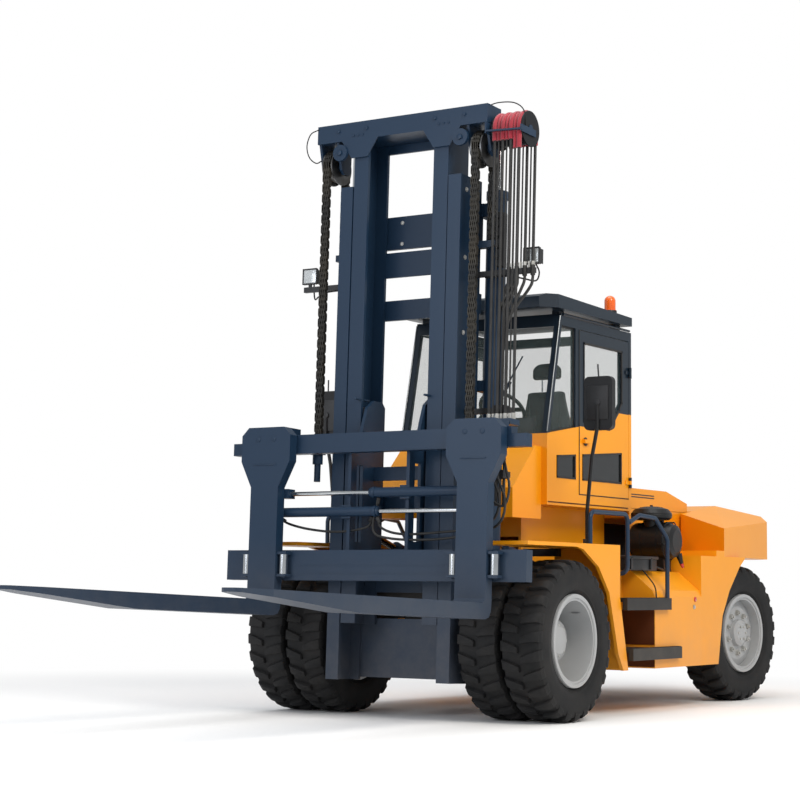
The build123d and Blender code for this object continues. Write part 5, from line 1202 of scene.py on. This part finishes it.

# %% [markdown]
# ## Painted shade, slots and bolts
# The wall behind the steps gets a dark brown that is painted shade, a strip of the same painted shade
# marks the gap below the cab, the hood has two cooling slots a side drawn as black strips of painted
# shade, and bolts hold the tanks. Each is a thin block that lies on the frame's own part.

# %% Painted shade in the well and the cab gap, hood slots and tank bolts
bm = bmesh.new()
for side in (1, -1):
    # Painted shade on the wall behind the steps
    for z_span in ((0.515, 0.780), (0.345, 0.455)):
        side_block(bm, side, (0.902, 1.176), (1.4160, 1.4198), z_span)
    # A thin strip of the same brown is painted shade in the gap between the cab and the plinth
    side_block(bm, side, (0.6502, 0.6525), (0.670, 2.040), (1.588, 1.597))
finish_piece("painted_shade_in_well_and_cab_gap", bm, well_painted_shade, "chassis")
# The hood's cooling slots are thin black strips: painted shade standing for the dark openings
bm = bmesh.new()
for side in (1, -1):
    for z in (1.690, 1.710):
        side_block(bm, side, (0.6190, 0.6212), (2.160, 2.600), (z, z + 0.009))
finish_piece("hood_slots_painted_shade", bm, plastic, "hood")
bm = bmesh.new()
for side in (1, -1):
    for y in (2.148, 1.500):
        hex_nut(bm, (side * TANK_SIDE, y, 0.800), (side, 0, 0), 0.014, 0.010)
finish_piece("side_tank_bolts", bm, zinc, "chassis")

# %% [markdown]
# ## Mirrors and beacon
# Each mirror is silvered glass in a black housing on its bent post, and the beacon's lens sits in a black
# collar on the roof.

# %% Mirror glass, housing ribs, stub and beacon collar
bm = bmesh.new()
for side in (1, -1):
    side_block(bm, side, (1.100, 1.310), (0.460, 0.465), (2.108, 2.478), 0.001)
finish_piece("mirror_glass", bm, silvered, "chassis")
bm = bmesh.new()
for side in (1, -1):
    side_block(bm, side, (1.120, 1.290), (0.399, 0.410), (2.170, 2.420), 0.005)
    drum(bm, (side * 1.205, 0.385, 2.295), (side * 1.205, 0.400, 2.295), 0.024, 20, bevel=0.003)
    tube(bm, [(side * 1.205, 0.420, 2.485), (side * 1.200, 0.415, 2.580)], 0.006, 8)
    drum(bm, (side * 1.120, 0.400, 1.270), (side * 1.120, 0.400, 1.300), 0.030, 6, bevel=0.002)
drum(bm, (0.550, 1.920, 3.176), (0.550, 1.920, 3.206), 0.056, 40, bevel=0.003)
finish_piece("mirror_ribs_and_beacon_collar", bm, plastic, "chassis")

# %% [markdown]
# ## Floor
# The truck stands on a plain pale floor that runs out to white, as in a catalogue cut-out. Near the truck
# the floor is a matt white that takes shadows, and further out it turns into the same white as the
# backdrop, so no horizon shows.

# %% Floor
# Distances from the truck's middle, in metres, between which the floor turns into plain white
FADE_START, FADE_END = 4.5, 8.0
floor_finish, tree, shader = new_finish("pale_studio_floor", Roughness=0.9)
place = add(tree, "ShaderNodeTexCoord")
speckle = add(tree, "ShaderNodeTexNoise", None, {"Vector": place.outputs["Object"], "Scale": per_metre(40)})
tone = add(tree, "ShaderNodeMix", {"data_type": "RGBA"},
           {"Factor": speckle.outputs["Fac"], "A": linear("#F4F4F4"), "B": linear("#FAFAFA")})
tree.links.new(tone.outputs["Result"], shader.inputs["Base Color"])
reach = add(tree, "ShaderNodeVectorMath", {"operation": "LENGTH"}, {0: place.outputs["Object"]})
fade = add(tree, "ShaderNodeMapRange", {"interpolation_type": "SMOOTHSTEP"},
           {"Value": reach.outputs["Value"], "From Min": FADE_START, "From Max": FADE_END})
white = add(tree, "ShaderNodeEmission", None, {"Color": (1, 1, 1, 1), "Strength": 1.0})
blend_node = add(tree, "ShaderNodeMixShader", None, {0: fade.outputs["Result"], 1: shader.outputs["BSDF"],
                                                     2: white.outputs["Emission"]})
tree.links.new(blend_node.outputs["Shader"], tree.nodes["Material Output"].inputs["Surface"])
bm = bmesh.new()
bmesh.ops.create_grid(bm, x_segments=8, y_segments=8, size=60.0)
floor_mesh = bpy.data.meshes.new("studio_floor")
bm.to_mesh(floor_mesh)
bm.free()
floor_mesh.materials.append(floor_finish)
floor = bpy.data.objects.new("studio_floor", floor_mesh)
bpy.context.scene.collection.objects.link(floor)
print("floor turns white between", FADE_START, "and", FADE_END, "metres")

# %% [markdown]
# ## Backdrop and lamps
# The backdrop is full white where the camera sees it, also through glass. Light and reflections get a
# dimmer, slightly cool sky, so that the paint keeps its colour. Three large soft lamps stand in for an
# overcast sky: one warm from the truck's left front, one cool from the front, and one from above.

# %% Backdrop and lamps
world = bpy.data.worlds.new("soft_white")
bpy.context.scene.world = world
world.use_nodes = True
tree = world.node_tree
tree.nodes.clear()
path = add(tree, "ShaderNodeLightPath")
seen = add(tree, "ShaderNodeMath", {"operation": "ADD", "use_clamp": True},
           {0: path.outputs["Is Camera Ray"], 1: path.outputs["Is Transmission Ray"]})
sky = add(tree, "ShaderNodeBackground", None, {"Color": linear("#F2F4F6"), "Strength": 0.66})
backdrop = add(tree, "ShaderNodeBackground", None, {"Color": (1, 1, 1, 1), "Strength": 1.0})
both = add(tree, "ShaderNodeMixShader", None, {0: seen.outputs["Value"], 1: sky.outputs["Background"],
                                               2: backdrop.outputs["Background"]})
add(tree, "ShaderNodeOutputWorld", None, {"Surface": both.outputs["Shader"]})


def lamp(name, place, aim, size, power, colour="#FFFFFF"):
    """A large soft square lamp that faces a point."""
    data = bpy.data.lights.new(name, "AREA")
    data.shape = "SQUARE"
    data.size = size
    data.energy = power
    data.color = linear(colour)[:3]
    obj = bpy.data.objects.new(name, data)
    obj.location = place
    obj.rotation_euler = (Vector(aim) - Vector(place)).to_track_quat("-Z", "Y").to_euler()
    bpy.context.scene.collection.objects.link(obj)
    return obj


lamp("key", (9.0, -4.0, 9.0), (0, 0, 1.5), 5.0, 920, "#FFF9F0")
lamp("front_fill", (-3.0, -12.0, 5.0), (0, 0, 2.0), 6.0, 420, "#F2F6FF")
lamp("top", (0, 0.5, 12.0), (0, 0, 0), 8.0, 560)
bpy.context.scene.view_settings.view_transform = "Standard"
print("backdrop and three lamps")
